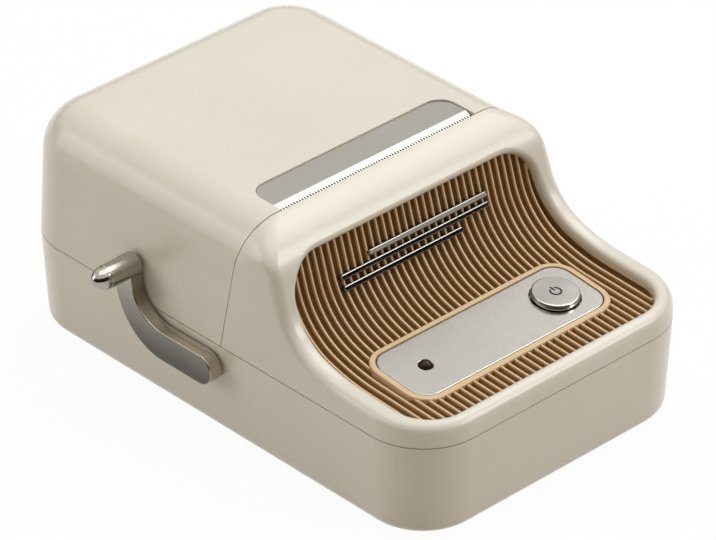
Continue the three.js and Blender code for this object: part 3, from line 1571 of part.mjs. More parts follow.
function solidAlongY(shape, y0, y1) {
  const geometry = new THREE.ExtrudeGeometry(shape, {
    depth: y1 - y0, bevelEnabled: false, curveSegments: 3,
  });
  geometry.rotateX(Math.PI / 2);
  geometry.translate(0, y1, 0);
  return solid(geometry);
}

function hingePin() {
  const end = hingePinHalf - fitGap;
  return rodX(hingePinRadius, -end, end, hingeY, hingeZ);
}

addPart('base_shell', baseShell(), shellCream());
addPart('hinge_pin', hingePin(), steel());

function caseScrews() {
  const seat = screwSeatZ - fitGap;
  return [-1, 1].map((side) => {
    const x = side * sideScrewX;
    return rodZ(screwRadius, seat - screwHeadThick / 2, noseBossTop - 2 * overlap, x, sideScrewY, 12)
      .add(rodZ(screwHeadRadius, seat - screwHeadThick, seat, x, sideScrewY));
  });
}

function rubberFeet() {
  return [-footX, footX].flatMap((x) => [footFrontY, footBackY].map(
    (y) => rodZ(footRadius, 0, underZ + footSink - fitGap, x, y, 16)));
}

const footEndings = ['front_left', 'back_left', 'front_right', 'back_right'];
addParts('case_screw', leftRight, caseScrews(), steel);
addParts('rubber_foot', footEndings, rubberFeet(), () => paint(0x3a3a3a, 0.9, 0));

// Roll tray: a trough for the label roll between two end walls.
function rollTray() {
  const outer = trayRadius + trayWall;
  const low = box(-reach, reach, -reach, reach, -reach, trayTopZ);
  const ends = trayHalf + trayEndThick;
  let tray = rodX(outer, -ends, ends, rollY, rollZ, 36)
    .subtract(rodX(trayRadius, -trayHalf, trayHalf, rollY, rollZ, 36))
    .intersect(low);
  for (const x0 of [-ends, trayHalf]) {
    tray = tray.add(box(x0, x0 + trayEndThick, rollY - outer / 1.5, rollY + outer / 1.5, floorZ + fitGap,
      rollZ - outer / 1.5));
  }
  const slot = guideSlot();
  return tray.subtract(slot).subtract(moved(slot, aboutRoll));
}

const rackPitchY = rollY + guidePinionTeeth * guideModule / 2;
const rackRootY = rackPitchY + 1.1 * guideModule;
const rackBackY = rackRootY + rackWide - guideModule;
const aboutRoll = new THREE.Matrix4().makeRotationZ(Math.PI).setPosition(0, 2 * rollY, 0);

function guideSlot() {
  return box(-guideRest - guideThick - fitGap, -guideRest + guideTravel + fitGap,
    rackBackY - guideFootWide - fitGap, rackBackY + fitGap, rackTop, rollZ - trayRadius / 1.6);
}

// Roll guide: a disc-shaped cheek with a hub, and the rack under the tray that moves it.
function rollGuide() {
  const x1 = -guideRest;
  const x0 = x1 - guideThick;
  const low = box(-reach, reach, -reach, reach, -reach, guideTopZ);
  let guide = rodX(guideRadius, x0, x1, rollY, rollZ, 28).intersect(low);
  guide = guide.add(rodX(guideHubRadius, x0 + guideThick / 2, x1 + guideHubDepth, rollY, rollZ, 16));
  const lightening = rodX(guideHubRadius * 0.6, x1, reach, rollY, rollZ, 16);
  guide = guide.subtract(lightening);
  guide = guide.add(box(x0, x1, rackBackY - guideFootWide, rackBackY, rackFoot, rollZ - guideRadius / 1.5));
  const pitch = Math.PI * guideModule;
  const points = [[x0, rackBackY], [x0, rackRootY]];
  const first = Math.ceil((x0 / pitch) - 0.5);
  for (let i = first + 1; (i + 0.5) * pitch < rackTail; i += 1) {
    const x = (i + 0.5) * pitch;
    points.push([x - 0.3 * pitch, rackRootY], [x - 0.1 * pitch, rackPitchY - 0.8 * guideModule]);
    points.push([x + 0.1 * pitch, rackPitchY - 0.8 * guideModule], [x + 0.3 * pitch, rackRootY]);
  }
  points.push([rackTail + pitch / 2, rackRootY], [rackTail + pitch / 2, rackBackY]);
  return guide.add(slabZ(polygon(points.reverse()), rackFoot, rackTop));
}

function guidePinion() {
  return slabZ(gearOutline(guidePinionTeeth, guideModule, Math.PI / 2, 0, rollY), rackFoot, rackTop)
    .subtract(rodZ(pinionPostRadius + runGap, -reach, reach, 0, rollY, 16));
}

addPart('roll_tray', rollTray(), paint(0x6f6a60, 0.6, 0));
addPart('guide_left', rollGuide(), darkPlastic());
addPart('guide_right', moved(rollGuide(), aboutRoll), darkPlastic());
addPart('guide_pinion', guidePinion(), paint(0xe8e4d8, 0.5, 0));

// Battery, main board and the charging socket with its small board.
function battery() {
  return slabZ(roundedRect(batteryHalfX, batteryHalfY, 2 * wall, 0, batteryY), batteryFoot, batteryTop);
}

function mainBoard() {
  const board = slabZ(roundedRect(
    mainBoardHalfX, mainBoardHalfY, boardThick, mainBoardX, mainBoardY), boardFoot, boardFoot + boardThick);
  const chip = (x, y, halfX, halfY, tall) => box(
    mainBoardX + x - halfX, mainBoardX + x + halfX, mainBoardY + y - halfY, mainBoardY + y + halfY,
    boardFoot + boardThick, boardFoot + boardThick + tall);
  return board
    .add(chip(-chipStep, 0, chipHalf, chipHalf, chipTall))
    .add(chip(chipStep, chipStep / 2, chipHalf * 1.4, chipHalf / 2, 2 * chipTall))
    .add(chip(chipStep, -chipStep / 2, chipHalf / 2, chipHalf / 2, chipTall));
}

// Outline of the socket in the back view, grown all round.
function socketOutline(grow) {
  const half = socketHalfZ + grow;
  return roundedRect(socketHalfX + grow, half, half, 0, socketZ);
}

function chargeSocket() {
  const shell = solidAlongY(socketOutline(0), socketBackY - socketLength, socketBackY);
  const mouth = solidAlongY(socketOutline(-fitGap), socketBackY - socketDepth, reach);
  const tongue = box(-socketHalfX * 0.7, socketHalfX * 0.7, socketBackY - socketDepth - overlap,
    socketBackY - overlap, socketZ - fitGap, socketZ + fitGap);
  return shell.subtract(mouth).add(tongue);
}

addPart('battery', battery(), paint(0x3f4a63, 0.5, 0));
addPart('main_board', mainBoard(), paint(0x1f5a3a, 0.5, 0));
addPart('charge_socket', chargeSocket(), steel());
addPart('socket_board', box(-socketBoardHalfX, socketBoardHalfX, socketBoardFrontY, socketBoardBackY,
  socketBoardZ - boardThick, socketBoardZ), paint(0x1f5a3a, 0.5, 0));

// Flat ribbon from the head down to the main board.
function headRibbon() {
  const lowFront = ribbonLowY - ribbonThick;
  const outline = polygon([
    [ribbonTopY, ribbonTopZ], [ribbonTopY - ribbonThick, ribbonTopZ], [lowFront, ribbonMidZ],
    [lowFront, ribbonLowZ], [ribbonLowY, ribbonLowZ], [ribbonLowY, ribbonMidZ],
  ]);
  return slabX(outline, -ribbonHalf + ribbonX, ribbonHalf + ribbonX);
}

addPart('head_ribbon', headRibbon(), paint(0xd8d3c6, 0.5, 0));

export default group;
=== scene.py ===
"""Looks of the desktop label printer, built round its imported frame.

Lengths are in millimetres until a mesh is made.
"""
import json
import math

import bpy
from mathutils import Matrix, Vector


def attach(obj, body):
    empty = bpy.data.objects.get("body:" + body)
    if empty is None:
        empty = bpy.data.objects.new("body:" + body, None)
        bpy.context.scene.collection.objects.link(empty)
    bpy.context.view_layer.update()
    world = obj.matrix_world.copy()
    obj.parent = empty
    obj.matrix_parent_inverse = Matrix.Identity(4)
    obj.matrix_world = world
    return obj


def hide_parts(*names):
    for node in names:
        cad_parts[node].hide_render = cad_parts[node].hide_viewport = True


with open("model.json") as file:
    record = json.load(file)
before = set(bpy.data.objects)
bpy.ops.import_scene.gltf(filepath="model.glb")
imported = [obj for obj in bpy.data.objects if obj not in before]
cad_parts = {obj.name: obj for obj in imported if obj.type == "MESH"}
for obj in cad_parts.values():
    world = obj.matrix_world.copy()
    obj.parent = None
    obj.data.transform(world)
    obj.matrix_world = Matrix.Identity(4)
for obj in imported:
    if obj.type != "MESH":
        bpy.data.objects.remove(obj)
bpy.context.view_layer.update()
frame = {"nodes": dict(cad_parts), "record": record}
nodes = frame["nodes"]
bpy.ops.object.select_all(action="DESELECT")

MM = 0.001
SHIFT_X = 6.9
GAP = 0.3
EASE = 0.02
FAR = 200.0
MERGE = 0.01 * MM

# Housing, as in the solids.
HALF_WIDTH = 42.0
HALF_LENGTH = 65.0
TOP_Z = 54.5
UNDER_Z = 0.5
PARTING_Z = 23.4
DRAFT = math.radians(3.0)
PLAN_RADIUS = 15.0
WALL = 2.2
UNDER_FILLET = 2.8
LID_FILLET = 10.8
RIM_FILLET = 2.6
LEAST_FILLET = 0.8
FILLET_BLEND = 14.0
BROW_Y = -6.65
BROW_RADIUS = 13.9
BROW_TURN = math.radians(72.5)
PLUNGE = 3.75
SCOOP_RADIUS = 14.9
SCOOP_TURN = math.radians(72.5 - 18.0)
RUN_OUT_RADIUS = 41.5
RUN_OUT_TURN = math.radians(18.0 - 2.8)
SEAM_Y = -3.35
SEAM_Z = 24.2
SEAM_LEAN = 0.163
SEAM_GAP = 0.26

# Opening and ribbed panel.
OPEN_HALF = 37.0
OPEN_TOP = 13.1
OPEN_FRONT_Y = -61.0
OPEN_TOP_RADIUS = 8.5
OPEN_FRONT_RADIUS = 9.5
OPEN_FILLET = 1.3
OPEN_TAPER = math.radians(5.0)
COLLAR = 5.0
RIB_COUNT = 36
RIB_PITCH = 2.0
RIB_TOP = 0.36
RIB_DEPTH = 2.5
GROOVE_DEPTH = 3.9
BAR_SEAT = 3.4
PANEL_DEPTH = 5.8
PANEL_GAP = 0.1
PANEL_WALL = 0.3
WALL_RISE = 0.15

# Control plate frame.
PLATE_Y = -42.8
PLATE_Z = 27.5
PLATE_TILT = math.radians(5.5)
PLATE_HALF = (28.0, 8.6)
PLATE_CORNER = 4.3
PLATE_THICK = 1.0
TRAY_RAIL = 1.6
TRAY_DROP = 4.2
BUTTON_X = 19.4
BUTTON_RADIUS = 5.4
LENS_X = -19.4
LENS_RADIUS = 1.5

# Tear blade.
BLADE_HALF = 28.65
BLADE_BACK_Y = 2.4
BLADE_BEND_Y = -5.5
BLADE_TIP_Y = -7.85
BLADE_TOP = 54.2
BLADE_THICK = 1.0
BLADE_CORNER = 4.5
BLADE_BEVEL = math.radians(12.0)
BLADE_GAP = 0.08
TOOTH_PITCH = 0.78
TOOTH_COUNT = 73
TOOTH_HALF = 0.23
TOOTH_DEPTH = 0.8

# Lid hinge.
HINGE_Y = 61.9
HINGE_Z = 26.4
BARREL = 2.9
BARREL_HALF = 26.0
EAR_X = 15.0
EAR_HALF = 4.0
EAR_GAP = 0.4
EAR_FOOT_Y = 59.0
EAR_FOOT_Z = 18.0

# Lever and its shaft.
SHAFT_Y = -0.3
SHAFT_Z = 17.9
SHAFT_HOLE = 2.55
LEVER_RUN = 11.9
LEVER_RADIUS = 12.3
LEVER_TURN = math.radians(84.0)
LEVER_RISE = 3.4
LEVER_FOOT = 3.6
LEVER_TOP = 2.6
LEVER_OUTER_X = -45.8
LEVER_INNER_X = -42.3
KNOB_X = -42.4
KNOB_BACK = 0.4

# Trim bars.
BAR_HALF = 0.65
BAR_HEIGHT = 1.7

# Underside and charging socket.
FOOT_X = 29.0
FOOT_Y = 51.0
FOOT_RECESS = 5.8
FOOT_ROOM = 1.2
SCREW_X = 35.9
SCREW_Y = -21.0
SCREW_RECESS = 2.2
SOCKET_HALF = 4.8
SOCKET_Y = 56.7
SOCKET_LOW = 7.9
SOCKET_TOP = 11.7
SOCKET_CORNER = 1.85

# Camera, fitted to the outlines of the real one.
VIEW_AZIMUTH = math.radians(-43.455)
VIEW_ELEVATION = math.radians(32.671)
VIEW_BACK = 1198.797
VIEW_RIGHT = 1.078
VIEW_UP = 18.792
SENSOR_WIDTH = 36.0
FOCAL_PIXELS = 5431.855
PICTURE_WIDTH = 716.0

FINE = math.radians(4.0)


# Shader maths: one wrapper for a socket, one maker for nodes.
class Wire:
    def __init__(self, tree, socket):
        self.tree = tree
        self.socket = socket

    def maths(self, operation, *others):
        return self.tree.node("ShaderNodeMath", {"operation": operation}, {0: self, **dict(enumerate(others, 1))})

    def __add__(self, other):
        return self.maths("ADD", other)

    __radd__ = __add__

    def __mul__(self, other):
        return self.maths("MULTIPLY", other)

    __rmul__ = __mul__

    def __sub__(self, other):
        return self.maths("SUBTRACT", other)

    def __rsub__(self, other):
        return (self * -1.0) + other

    def __truediv__(self, other):
        return self.maths("DIVIDE", other)


class Tree:
    """The nodes of a material or of the world."""
    def __init__(self, owner):
        self.material = owner
        owner.use_nodes = True
        self.nodes = owner.node_tree.nodes
        self.links = owner.node_tree.links
        self.shader = self.nodes.get("Principled BSDF")
        self.place = self.node("ShaderNodeTexCoord", output="Object") if self.shader else None

    def node(self, kind, settings=(), inputs=(), output=0):
        made = self.nodes.new(kind)
        for key, value in dict(settings).items():
            if key == "stops":
                ramp = made.color_ramp.elements
                while len(ramp) < len(value):
                    ramp.new(0.5)
                for element, (position, colour) in zip(ramp, value):
                    element.position = position
                    element.color = colour
            else:
                setattr(made, key, value)
        for key, value in dict(inputs).items():
            self.feed(made.inputs[key], value)
        return Wire(self, made.outputs[output])

    def feed(self, socket, value):
        if isinstance(value, Wire):
            self.links.new(value.socket, socket)
        elif hasattr(socket.default_value, "__len__") and not hasattr(value, "__len__"):
            socket.default_value = [value] * len(socket.default_value)
        else:
            socket.default_value = value

    def set(self, **sockets):
        for key, value in sockets.items():
            self.feed(self.shader.inputs[key.replace("_", " ")], value)

    def scaled(self, x, y, z):
        return self.node("ShaderNodeMapping", {}, {"Vector": self.place, "Scale": (x, y, z)})

    def noise(self, size, detail=3.0, stretch=(1.0, 1.0, 1.0)):
        where = self.scaled(*(s / size for s in stretch))
        return self.node("ShaderNodeTexNoise", {}, {"Vector": where, "Scale": 1.0, "Detail": detail})

    def blend(self, factor, low, high):
        return self.node("ShaderNodeMix", {"data_type": "RGBA"}, {0: factor, 6: low, 7: high}, output=2)

    def span(self, value, low, high, to_low, to_high):
        return self.node("ShaderNodeMapRange", {}, {0: value, 1: low, 2: high, 3: to_low, 4: to_high})

    def bump(self, height, strength, distance):
        made = self.node("ShaderNodeBump", {}, {"Height": height, "Strength": strength, "Distance": distance})
        self.feed(self.shader.inputs["Normal"], made)


def rgb(code):
    """Linear colour with alpha from a six-figure display colour."""
    parts = [int(code[i:i + 2], 16) / 255 for i in (0, 2, 4)]
    linear = [p / 12.92 if p <= 0.04045 else ((p + 0.055) / 1.055) ** 2.4 for p in parts]
    return (*linear, 1.0)


def moulded(name, low, high, rough=0.4, grain=0.0009, depth=0.02, coat=0.0):
    """Moulded plastic: faint mottling and a fine spark-eroded grain."""
    tree = Tree(bpy.data.materials.new(name))
    cloud = tree.noise(0.03, 2.0)
    speck = tree.noise(grain, 2.0)
    tree.set(Base_Color=tree.blend(tree.span(cloud, 0.35, 0.65, 0.0, 1.0), rgb(low), rgb(high)))
    tree.set(Roughness=tree.span(speck, 0.3, 0.7, rough - 0.05, rough + 0.06))
    tree.shader.inputs["Coat Weight"].default_value = coat
    tree.shader.inputs["Coat Roughness"].default_value = 0.22
    tree.bump(speck, 0.25, depth * MM)
    return tree.material


def fluted(name):
    """Tan plastic with painted light: a pale painted highlight on the crests of the flutes and browner painted
    shade down in them.
    """
    tree = Tree(bpy.data.materials.new(name))
    x = tree.node("ShaderNodeSeparateXYZ", {}, {0: tree.place}, output=0)
    across = ((x - SHIFT_X * MM) / (RIB_PITCH * MM)).maths("FRACT")
    off_crest = (across - 0.5).maths("ABSOLUTE") * 2.0
    # Mask for the painted light: 0 on the crests, where the painted highlight goes, 1 down in the flutes, where the
    # painted shade goes.
    flute_shade_mask = tree.span(off_crest, 0.2, 0.34, 0.0, 1.0)
    speck = tree.noise(0.0012, 2.0)
    cloud = tree.noise(0.02, 2.0)
    # Painted highlight: the pale crest colour. Painted shade: the brown flute floor colour.
    crest = tree.blend(cloud, rgb("E6C496"), rgb("ECCBA0"))
    floor = tree.blend(speck, rgb("7D5A2E"), rgb("8A6535"))
    tree.set(Base_Color=tree.blend(flute_shade_mask, crest, floor))
    tree.set(Roughness=tree.span(speck, 0.3, 0.7, 0.42, 0.55))
    tree.bump(speck, 0.2, 0.02 * MM)
    return tree.material


def nickel_painted_reflection(name, low, high, foot, top, rough=0.2):
    """Dark nickel: the face's own dark colour, with painted shade that darkens it towards its foot and leaves it
    paler towards its top, and a pale painted reflection of the cream wall on the polished edges behind it.
    """
    tree = Tree(bpy.data.materials.new(name))
    parts = tree.node("ShaderNodeSeparateXYZ", {}, {0: tree.place}, output=2)
    x, z = Wire(tree, parts.socket.node.outputs[0]), parts
    smudge = tree.noise(0.006, 4.0)
    # Painted shade: the face is darker towards its foot and paler towards its top, standing in for the dark floor
    # it mirrors low down.
    rise = tree.span(z, foot * MM, top * MM, 0.0, 1.0) + (smudge - 0.5) * 0.15
    face = tree.blend(rise, rgb(low), rgb(high))
    # Painted reflection: the polished edges are painted pale, paler lower down, as if mirroring the lit cream wall
    # beside them.
    edge = tree.blend(tree.span(z, 20.0 * MM, 27.0 * MM, 0.0, 1.0), rgb("BFB7A7"), rgb("958F7C"))
    face_x = SHIFT_X + LEVER_OUTER_X
    painted_edge_mask = tree.span(x, (face_x + 0.08) * MM, (face_x + 0.2) * MM, 0.0, 1.0)
    tree.set(Base_Color=tree.blend(painted_edge_mask, face, edge), Metallic=1.0)
    tree.set(Roughness=tree.span(smudge, 0.35, 0.7, rough * 0.7, rough * 1.4))
    tree.bump(tree.noise(0.004, 1.0), 0.05, 0.01 * MM)
    return tree.material


def brushed(name, low, high, rough, stretch=(1.0, 40.0, 40.0), size=0.02, line=0.012):
    """Metal sheet with fine straight brush lines."""
    tree = Tree(bpy.data.materials.new(name))
    lines = tree.noise(size, 6.0, stretch)
    cloud = tree.noise(0.025, 2.0)
    tree.set(Base_Color=tree.blend(tree.span(lines, 0.35, 0.65, 0.0, 1.0), rgb(low), rgb(high)), Metallic=1.0)
    tree.set(Roughness=tree.span(cloud * 0.5 + lines * 0.5, 0.35, 0.65, rough - 0.05, rough + 0.06))
    tree.bump(lines, 0.15, line * MM)
    return tree.material


def polished(name, low, high, rough=0.1):
    """Plated metal with faint smudges."""
    tree = Tree(bpy.data.materials.new(name))
    smudge = tree.noise(0.006, 4.0)
    tree.set(Base_Color=tree.blend(tree.span(smudge, 0.35, 0.65, 0.0, 1.0), rgb(low), rgb(high)), Metallic=1.0)
    tree.set(Roughness=tree.span(smudge, 0.35, 0.7, rough * 0.7, rough * 1.5))
    tree.bump(tree.noise(0.004, 1.0), 0.05, 0.01 * MM)
    return tree.material


def satin(name, low, high, rough):
    """Bead-blasted metal: even, with a very fine grain."""
    tree = Tree(bpy.data.materials.new(name))
    cloud = tree.noise(0.03, 2.0)
    speck = tree.noise(0.0005, 2.0)
    tree.set(Base_Color=tree.blend(tree.span(cloud, 0.35, 0.65, 0.0, 1.0), rgb(low), rgb(high)), Metallic=1.0)
    tree.set(Roughness=tree.span(speck, 0.3, 0.7, rough - 0.03, rough + 0.04))
    tree.bump(speck, 0.08, 0.004 * MM)
    return tree.material


def glossy(name, low, high, rough=0.15, size=0.004, shine=0.5):
    """Smooth plastic, glaze or sleeve with a faint mottling."""
    tree = Tree(bpy.data.materials.new(name))
    cloud = tree.noise(size, 2.0)
    tree.set(Base_Color=tree.blend(cloud, rgb(low), rgb(high)))
    tree.set(Roughness=tree.span(cloud, 0.3, 0.7, rough * 0.7, rough * 1.4))
    tree.shader.inputs["Specular IOR Level"].default_value = shine
    return tree.material


def circuit(name):
    """Green board with tracks under the mask."""
    tree = Tree(bpy.data.materials.new(name))
    tracks = tree.node(
        "ShaderNodeTexBrick", {"offset": 0.5},
        {"Vector": tree.place, "Scale": 420.0, "Mortar Size": 0.03, "Color1": (0.0,) * 4, "Color2": (0.0,) * 4,
         "Mortar": (1.0,) * 4}, output=1)
    tree.set(Base_Color=tree.blend(tracks, rgb("1E5637"), rgb("3B7A50")))
    tree.set(Roughness=tree.span(tree.noise(0.003), 0.3, 0.7, 0.25, 0.4))
    return tree.material


FINISH = {
    "shell": moulded("cream_plastic", "E4DDCE", "E8E2D4", 0.3, 0.0003, 0.003, 0.4),
    # Tan flutes with a painted highlight on the crests and painted shade in the flutes.
    "panel": fluted("fluted_tan"),
    "tray": moulded("light_tan_plastic", "DDBF95", "E3C79F", 0.38),
    "plate": satin("satin_plate", "B0ACA5", "B5B2AB", 0.2),
    "chrome": polished("polished_chrome", "B4B0A7", "BEBAB2", 0.1),
    # Dark nickel lever with painted shade towards its foot and a painted reflection on its edges.
    "lever": nickel_painted_reflection("dark_nickel_painted_reflection", "57534C", "A29D92", 16.0, 31.0),
    "blade": satin("blade_steel", "AAA69C", "AFABA2", 0.18),
    "steel": brushed("zinc_steel", "A3A4A3", "BDBDBB", 0.35, (10.0, 10.0, 1.0)),
    "dark_plastic": moulded("black_plastic", "232325", "2E2E30", 0.5),
    "inner_plastic": moulded("grey_brown_plastic", "67625A", "736E65", 0.55),
    "rubber": moulded("foot_rubber", "2F2F2F", "3B3B3B", 0.85, 0.0006, 0.05),
    "platen_rubber": moulded("roller_rubber", "222226", "2B2B2F", 0.8, 0.0004, 0.03),
    "gear_plastic": moulded("acetal", "E2DED2", "ECE8DD", 0.4),
    "brass": brushed("machined_brass", "B08F48", "CBAE6A", 0.3, (1.0, 8.0, 8.0)),
    "bush": moulded("oiled_bush", "7C766A", "938D81", 0.45),
    "lens": glossy("smoked_lens", "2A1D0A", "342610", 0.1, shine=0.17),
    "lamp": glossy("clear_lamp", "D6DDD0", "EFF4EA", 0.12),
    "board": circuit("circuit_board"),
    "battery_wrap": glossy("battery_sleeve", "38435B", "46526D", 0.35, 0.01),
    "motor_can": brushed("motor_can", "7C7D80", "98999B", 0.38, (30.0, 1.0, 1.0)),
    "ceramic": glossy("glazed_ceramic", "1B1816", "272320", 0.12),
    "aluminium": brushed("drawn_aluminium", "9C9EA0", "B5B7B9", 0.38),
    "ribbon": moulded("ribbon_cable", "CFC9BA", "DCD7CA", 0.5),
}
KNOB_NICKEL = polished("knob_nickel", "A8A398", "B0ACA2", 0.2)
BAR_CHROME = polished("bar_chrome", "86827A", "908C83", 0.1)
SYMBOL_INK = moulded("symbol_ink", "151515", "1B1B1B", 0.85, 0.0004, 0.002)
SLOT = {entry["node"]: entry["material_slot"] for entry in frame["record"]["subparts"]}
BODY = {node: body for body, members in frame["record"]["behaviour"]["bodies"].items() for node in members}


# Mesh helpers.
def select_only(piece):
    bpy.ops.object.select_all(action="DESELECT")
    piece.select_set(True)
    bpy.context.view_layer.objects.active = piece


def edit(piece, *steps):
    """Runs edit-mode steps with all of the mesh selected."""
    select_only(piece)
    bpy.ops.object.mode_set(mode="EDIT")
    bpy.ops.mesh.select_all(action="SELECT")
    for step in steps:
        step()
    bpy.ops.object.mode_set(mode="OBJECT")


def tidy_mesh(piece):
    edit(piece, lambda: bpy.ops.mesh.remove_doubles(threshold=MERGE),
         lambda: bpy.ops.mesh.normals_make_consistent(inside=False))


def from_points(name, points, faces):
    """A mesh from millimetre points of the housing's own frame."""
    mesh = bpy.data.meshes.new(name)
    mesh.from_pydata([((x + SHIFT_X) * MM, y * MM, z * MM) for x, y, z in points], [], faces)
    piece = bpy.data.objects.new(name, mesh)
    bpy.context.collection.objects.link(piece)
    tidy_mesh(piece)
    return piece


def apply_place(piece):
    select_only(piece)
    bpy.ops.object.transform_apply(location=True, rotation=True, scale=True)


def modify(piece, kind, **settings):
    select_only(piece)
    modifier = piece.modifiers.new(kind.lower(), kind)
    for key, value in settings.items():
        setattr(modifier, key, value)
    bpy.ops.object.modifier_apply(modifier=modifier.name)


def cut(piece, cutter, operation="DIFFERENCE", keep=False):
    modify(piece, "BOOLEAN", object=cutter, operation=operation, solver="EXACT")
    if not keep:
        bpy.data.objects.remove(cutter)
    return piece


def smooth(piece, degrees=32.0):
    """Smooth shading up to an angle, with flat faces kept flat beside their bevels."""
    select_only(piece)
    bpy.ops.object.shade_smooth_by_angle(angle=math.radians(degrees))
    modify(piece, "WEIGHTED_NORMAL", keep_sharp=True, weight=100)


def copied(piece, name):
    twin = piece.copy()
    twin.data = piece.data.copy()
    twin.name = name
    bpy.context.collection.objects.link(twin)
    return twin


def cube(name, x0, x1, y0, y1, z0, z1):
    centre = ((x0 + x1) / 2 + SHIFT_X, (y0 + y1) / 2, (z0 + z1) / 2)
    bpy.ops.mesh.primitive_cube_add(size=1.0, location=[c * MM for c in centre])
    piece = bpy.context.object
    piece.name = name
    piece.scale = [(x1 - x0) * MM, (y1 - y0) * MM, (z1 - z0) * MM]
    apply_place(piece)
    return piece


AXIS_TURN = {"X": (0.0, math.pi / 2, 0.0), "Y": (math.pi / 2, 0.0, 0.0), "Z": (0.0, 0.0, 0.0)}


def rod(name, axis, radius, start, end, across, sides=64):
    """A cylinder along an axis; across gives the other two coordinates in order."""
    middle = (start + end) / 2
    place = {"X": (middle, *across), "Y": (across[0], middle, across[1]), "Z": (*across, middle)}[axis]
    bpy.ops.mesh.primitive_cylinder_add(
        vertices=sides, radius=radius * MM, depth=(end - start) * MM, rotation=AXIS_TURN[axis],
        location=((place[0] + SHIFT_X) * MM, place[1] * MM, place[2] * MM))
    piece = bpy.context.object
    piece.name = name
    apply_place(piece)
    return piece


def bevelled(piece, width, segments=4, angle=30.0):
    modify(piece, "BEVEL", width=width * MM, segments=segments, limit_method="ANGLE",
           angle_limit=math.radians(angle), use_clamp_overlap=True)
    return piece


def pick_edges(piece, wanted):
    """Enters edit mode with only the wanted edges selected; wanted takes an edge's two ends."""
    select_only(piece)
    bpy.ops.object.mode_set(mode="EDIT")
    bpy.ops.mesh.select_mode(type="EDGE")
    bpy.ops.mesh.select_all(action="DESELECT")
    bpy.ops.object.mode_set(mode="OBJECT")
    for edge in piece.data.edges:
        edge.select = wanted(*(piece.data.vertices[i].co for i in edge.vertices))
    bpy.ops.object.mode_set(mode="EDIT")


def round_edges(piece, along, width, segments=12):
    """Rounds the edges that run along one axis."""
    axis = "XYZ".index(along)
    pick_edges(piece, lambda a, b: abs((a - b).normalized()[axis]) > 0.99)
    bpy.ops.mesh.bevel(offset=width * MM, segments=segments, affect="EDGES")
    bpy.ops.object.mode_set(mode="OBJECT")
    return piece


def traced(name, points):
    """A chain of edges drawn by extruding one vertex from point to point; points are in metres."""
    bpy.ops.mesh.primitive_plane_add(size=MM, location=points[0])
    piece = bpy.context.object
    piece.name = name
    apply_place(piece)
    bpy.ops.object.mode_set(mode="EDIT")
    bpy.ops.mesh.select_mode(type="VERT")
    bpy.ops.mesh.select_all(action="SELECT")
    bpy.ops.mesh.merge(type="CENTER")
    for last, point in zip(points, points[1:]):
        bpy.ops.mesh.extrude_vertices_move(
            TRANSFORM_OT_translate={"value": tuple(b - a for a, b in zip(last, point))})
    bpy.ops.object.mode_set(mode="OBJECT")
    return piece


def extruded(name, outline, x0, x1):
    """A side-view outline (y, z) filled and pulled along X."""
    piece = traced(name, [((x0 + SHIFT_X) * MM, y * MM, z * MM) for y, z in outline])
    edit(piece, bpy.ops.mesh.edge_face_add,
         lambda: bpy.ops.mesh.extrude_region_move(TRANSFORM_OT_translate={"value": ((x1 - x0) * MM, 0, 0)}),
         lambda: bpy.ops.mesh.select_all(action="SELECT"),
         lambda: bpy.ops.mesh.normals_make_consistent(inside=False))
    return piece


def turned(name, profile, sides=64):
    """A profile of (radius, height) steps traced and spun about Z at the origin."""
    piece = traced(name, [(r * MM, 0.0, z * MM) for r, z in profile])
    edit(piece, lambda: bpy.ops.mesh.spin(
        steps=sides, angle=2 * math.pi, center=(0, 0, 0), axis=(0, 0, 1), dupli=False))
    tidy_mesh(piece)
    return piece


def laid(piece, matrix):
    piece.data.transform(matrix)
    return piece


def on_plate(piece):
    """Moves a piece made round the plate's own origin onto the tilted plate."""
    place = Matrix.Translation((SHIFT_X * MM, PLATE_Y * MM, PLATE_Z * MM))
    return laid(piece, place @ Matrix.Rotation(PLATE_TILT, 4, "X"))


def centred_box(name, half_x, half_y, low, high):
    """A box round the origin, to be laid in its place later."""
    return cube(name, -half_x - SHIFT_X, half_x - SHIFT_X, -half_y, half_y, low, high)


def plate_box(name, grow, low, high, segments=16):
    """A box with the control plate's rounded outline, grown by a margin."""
    box = centred_box(name, PLATE_HALF[0] + grow, PLATE_HALF[1] + grow, low, high)
    return round_edges(box, "Z", PLATE_CORNER + grow, segments)


def dressed(piece, slot, body, *stands_for, finish=None):
    """Gives a finished piece the material of its slot, attaches it to its body and hides the nodes that it stands
    for.
    """
    piece.data.materials.clear()
    piece.data.materials.append(finish or FINISH[slot])
    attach(piece, body)
    if stands_for:
        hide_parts(*stands_for)
    return piece


# The swoop line.
def chain(start, pieces, s):
    """Point and slope at a length along a chain of straights and arcs."""
    y, z, slope = start
    left = s
    for length, radius in pieces:
        run = min(left, length) if s > 0 else 0.0
        if radius:
            turned_to = slope + run / radius
            y -= radius * (math.sin(turned_to) - math.sin(slope))
            z -= radius * (math.cos(slope) - math.cos(turned_to))
            slope = turned_to
        else:
            y -= run * math.cos(slope)
            z -= run * math.sin(slope)
        left -= run
    return y - left * math.cos(slope), z - left * math.sin(slope), slope


AFTER_BROW = [(PLUNGE, None), (SCOOP_RADIUS * SCOOP_TURN, -SCOOP_RADIUS),
              (RUN_OUT_RADIUS * RUN_OUT_TURN, -RUN_OUT_RADIUS)]
BROW_RUN = BROW_RADIUS * BROW_TURN
SWOOP = [(BROW_RUN, BROW_RADIUS), *AFTER_BROW]


def swoop(s):
    return chain((BROW_Y, TOP_Z, 0.0), SWOOP, s)


def panel_line(s):
    """The swoop from the foot of the brow on, carried straight up behind the brow."""
    return chain(swoop(BROW_RUN), AFTER_BROW, s - BROW_RUN)


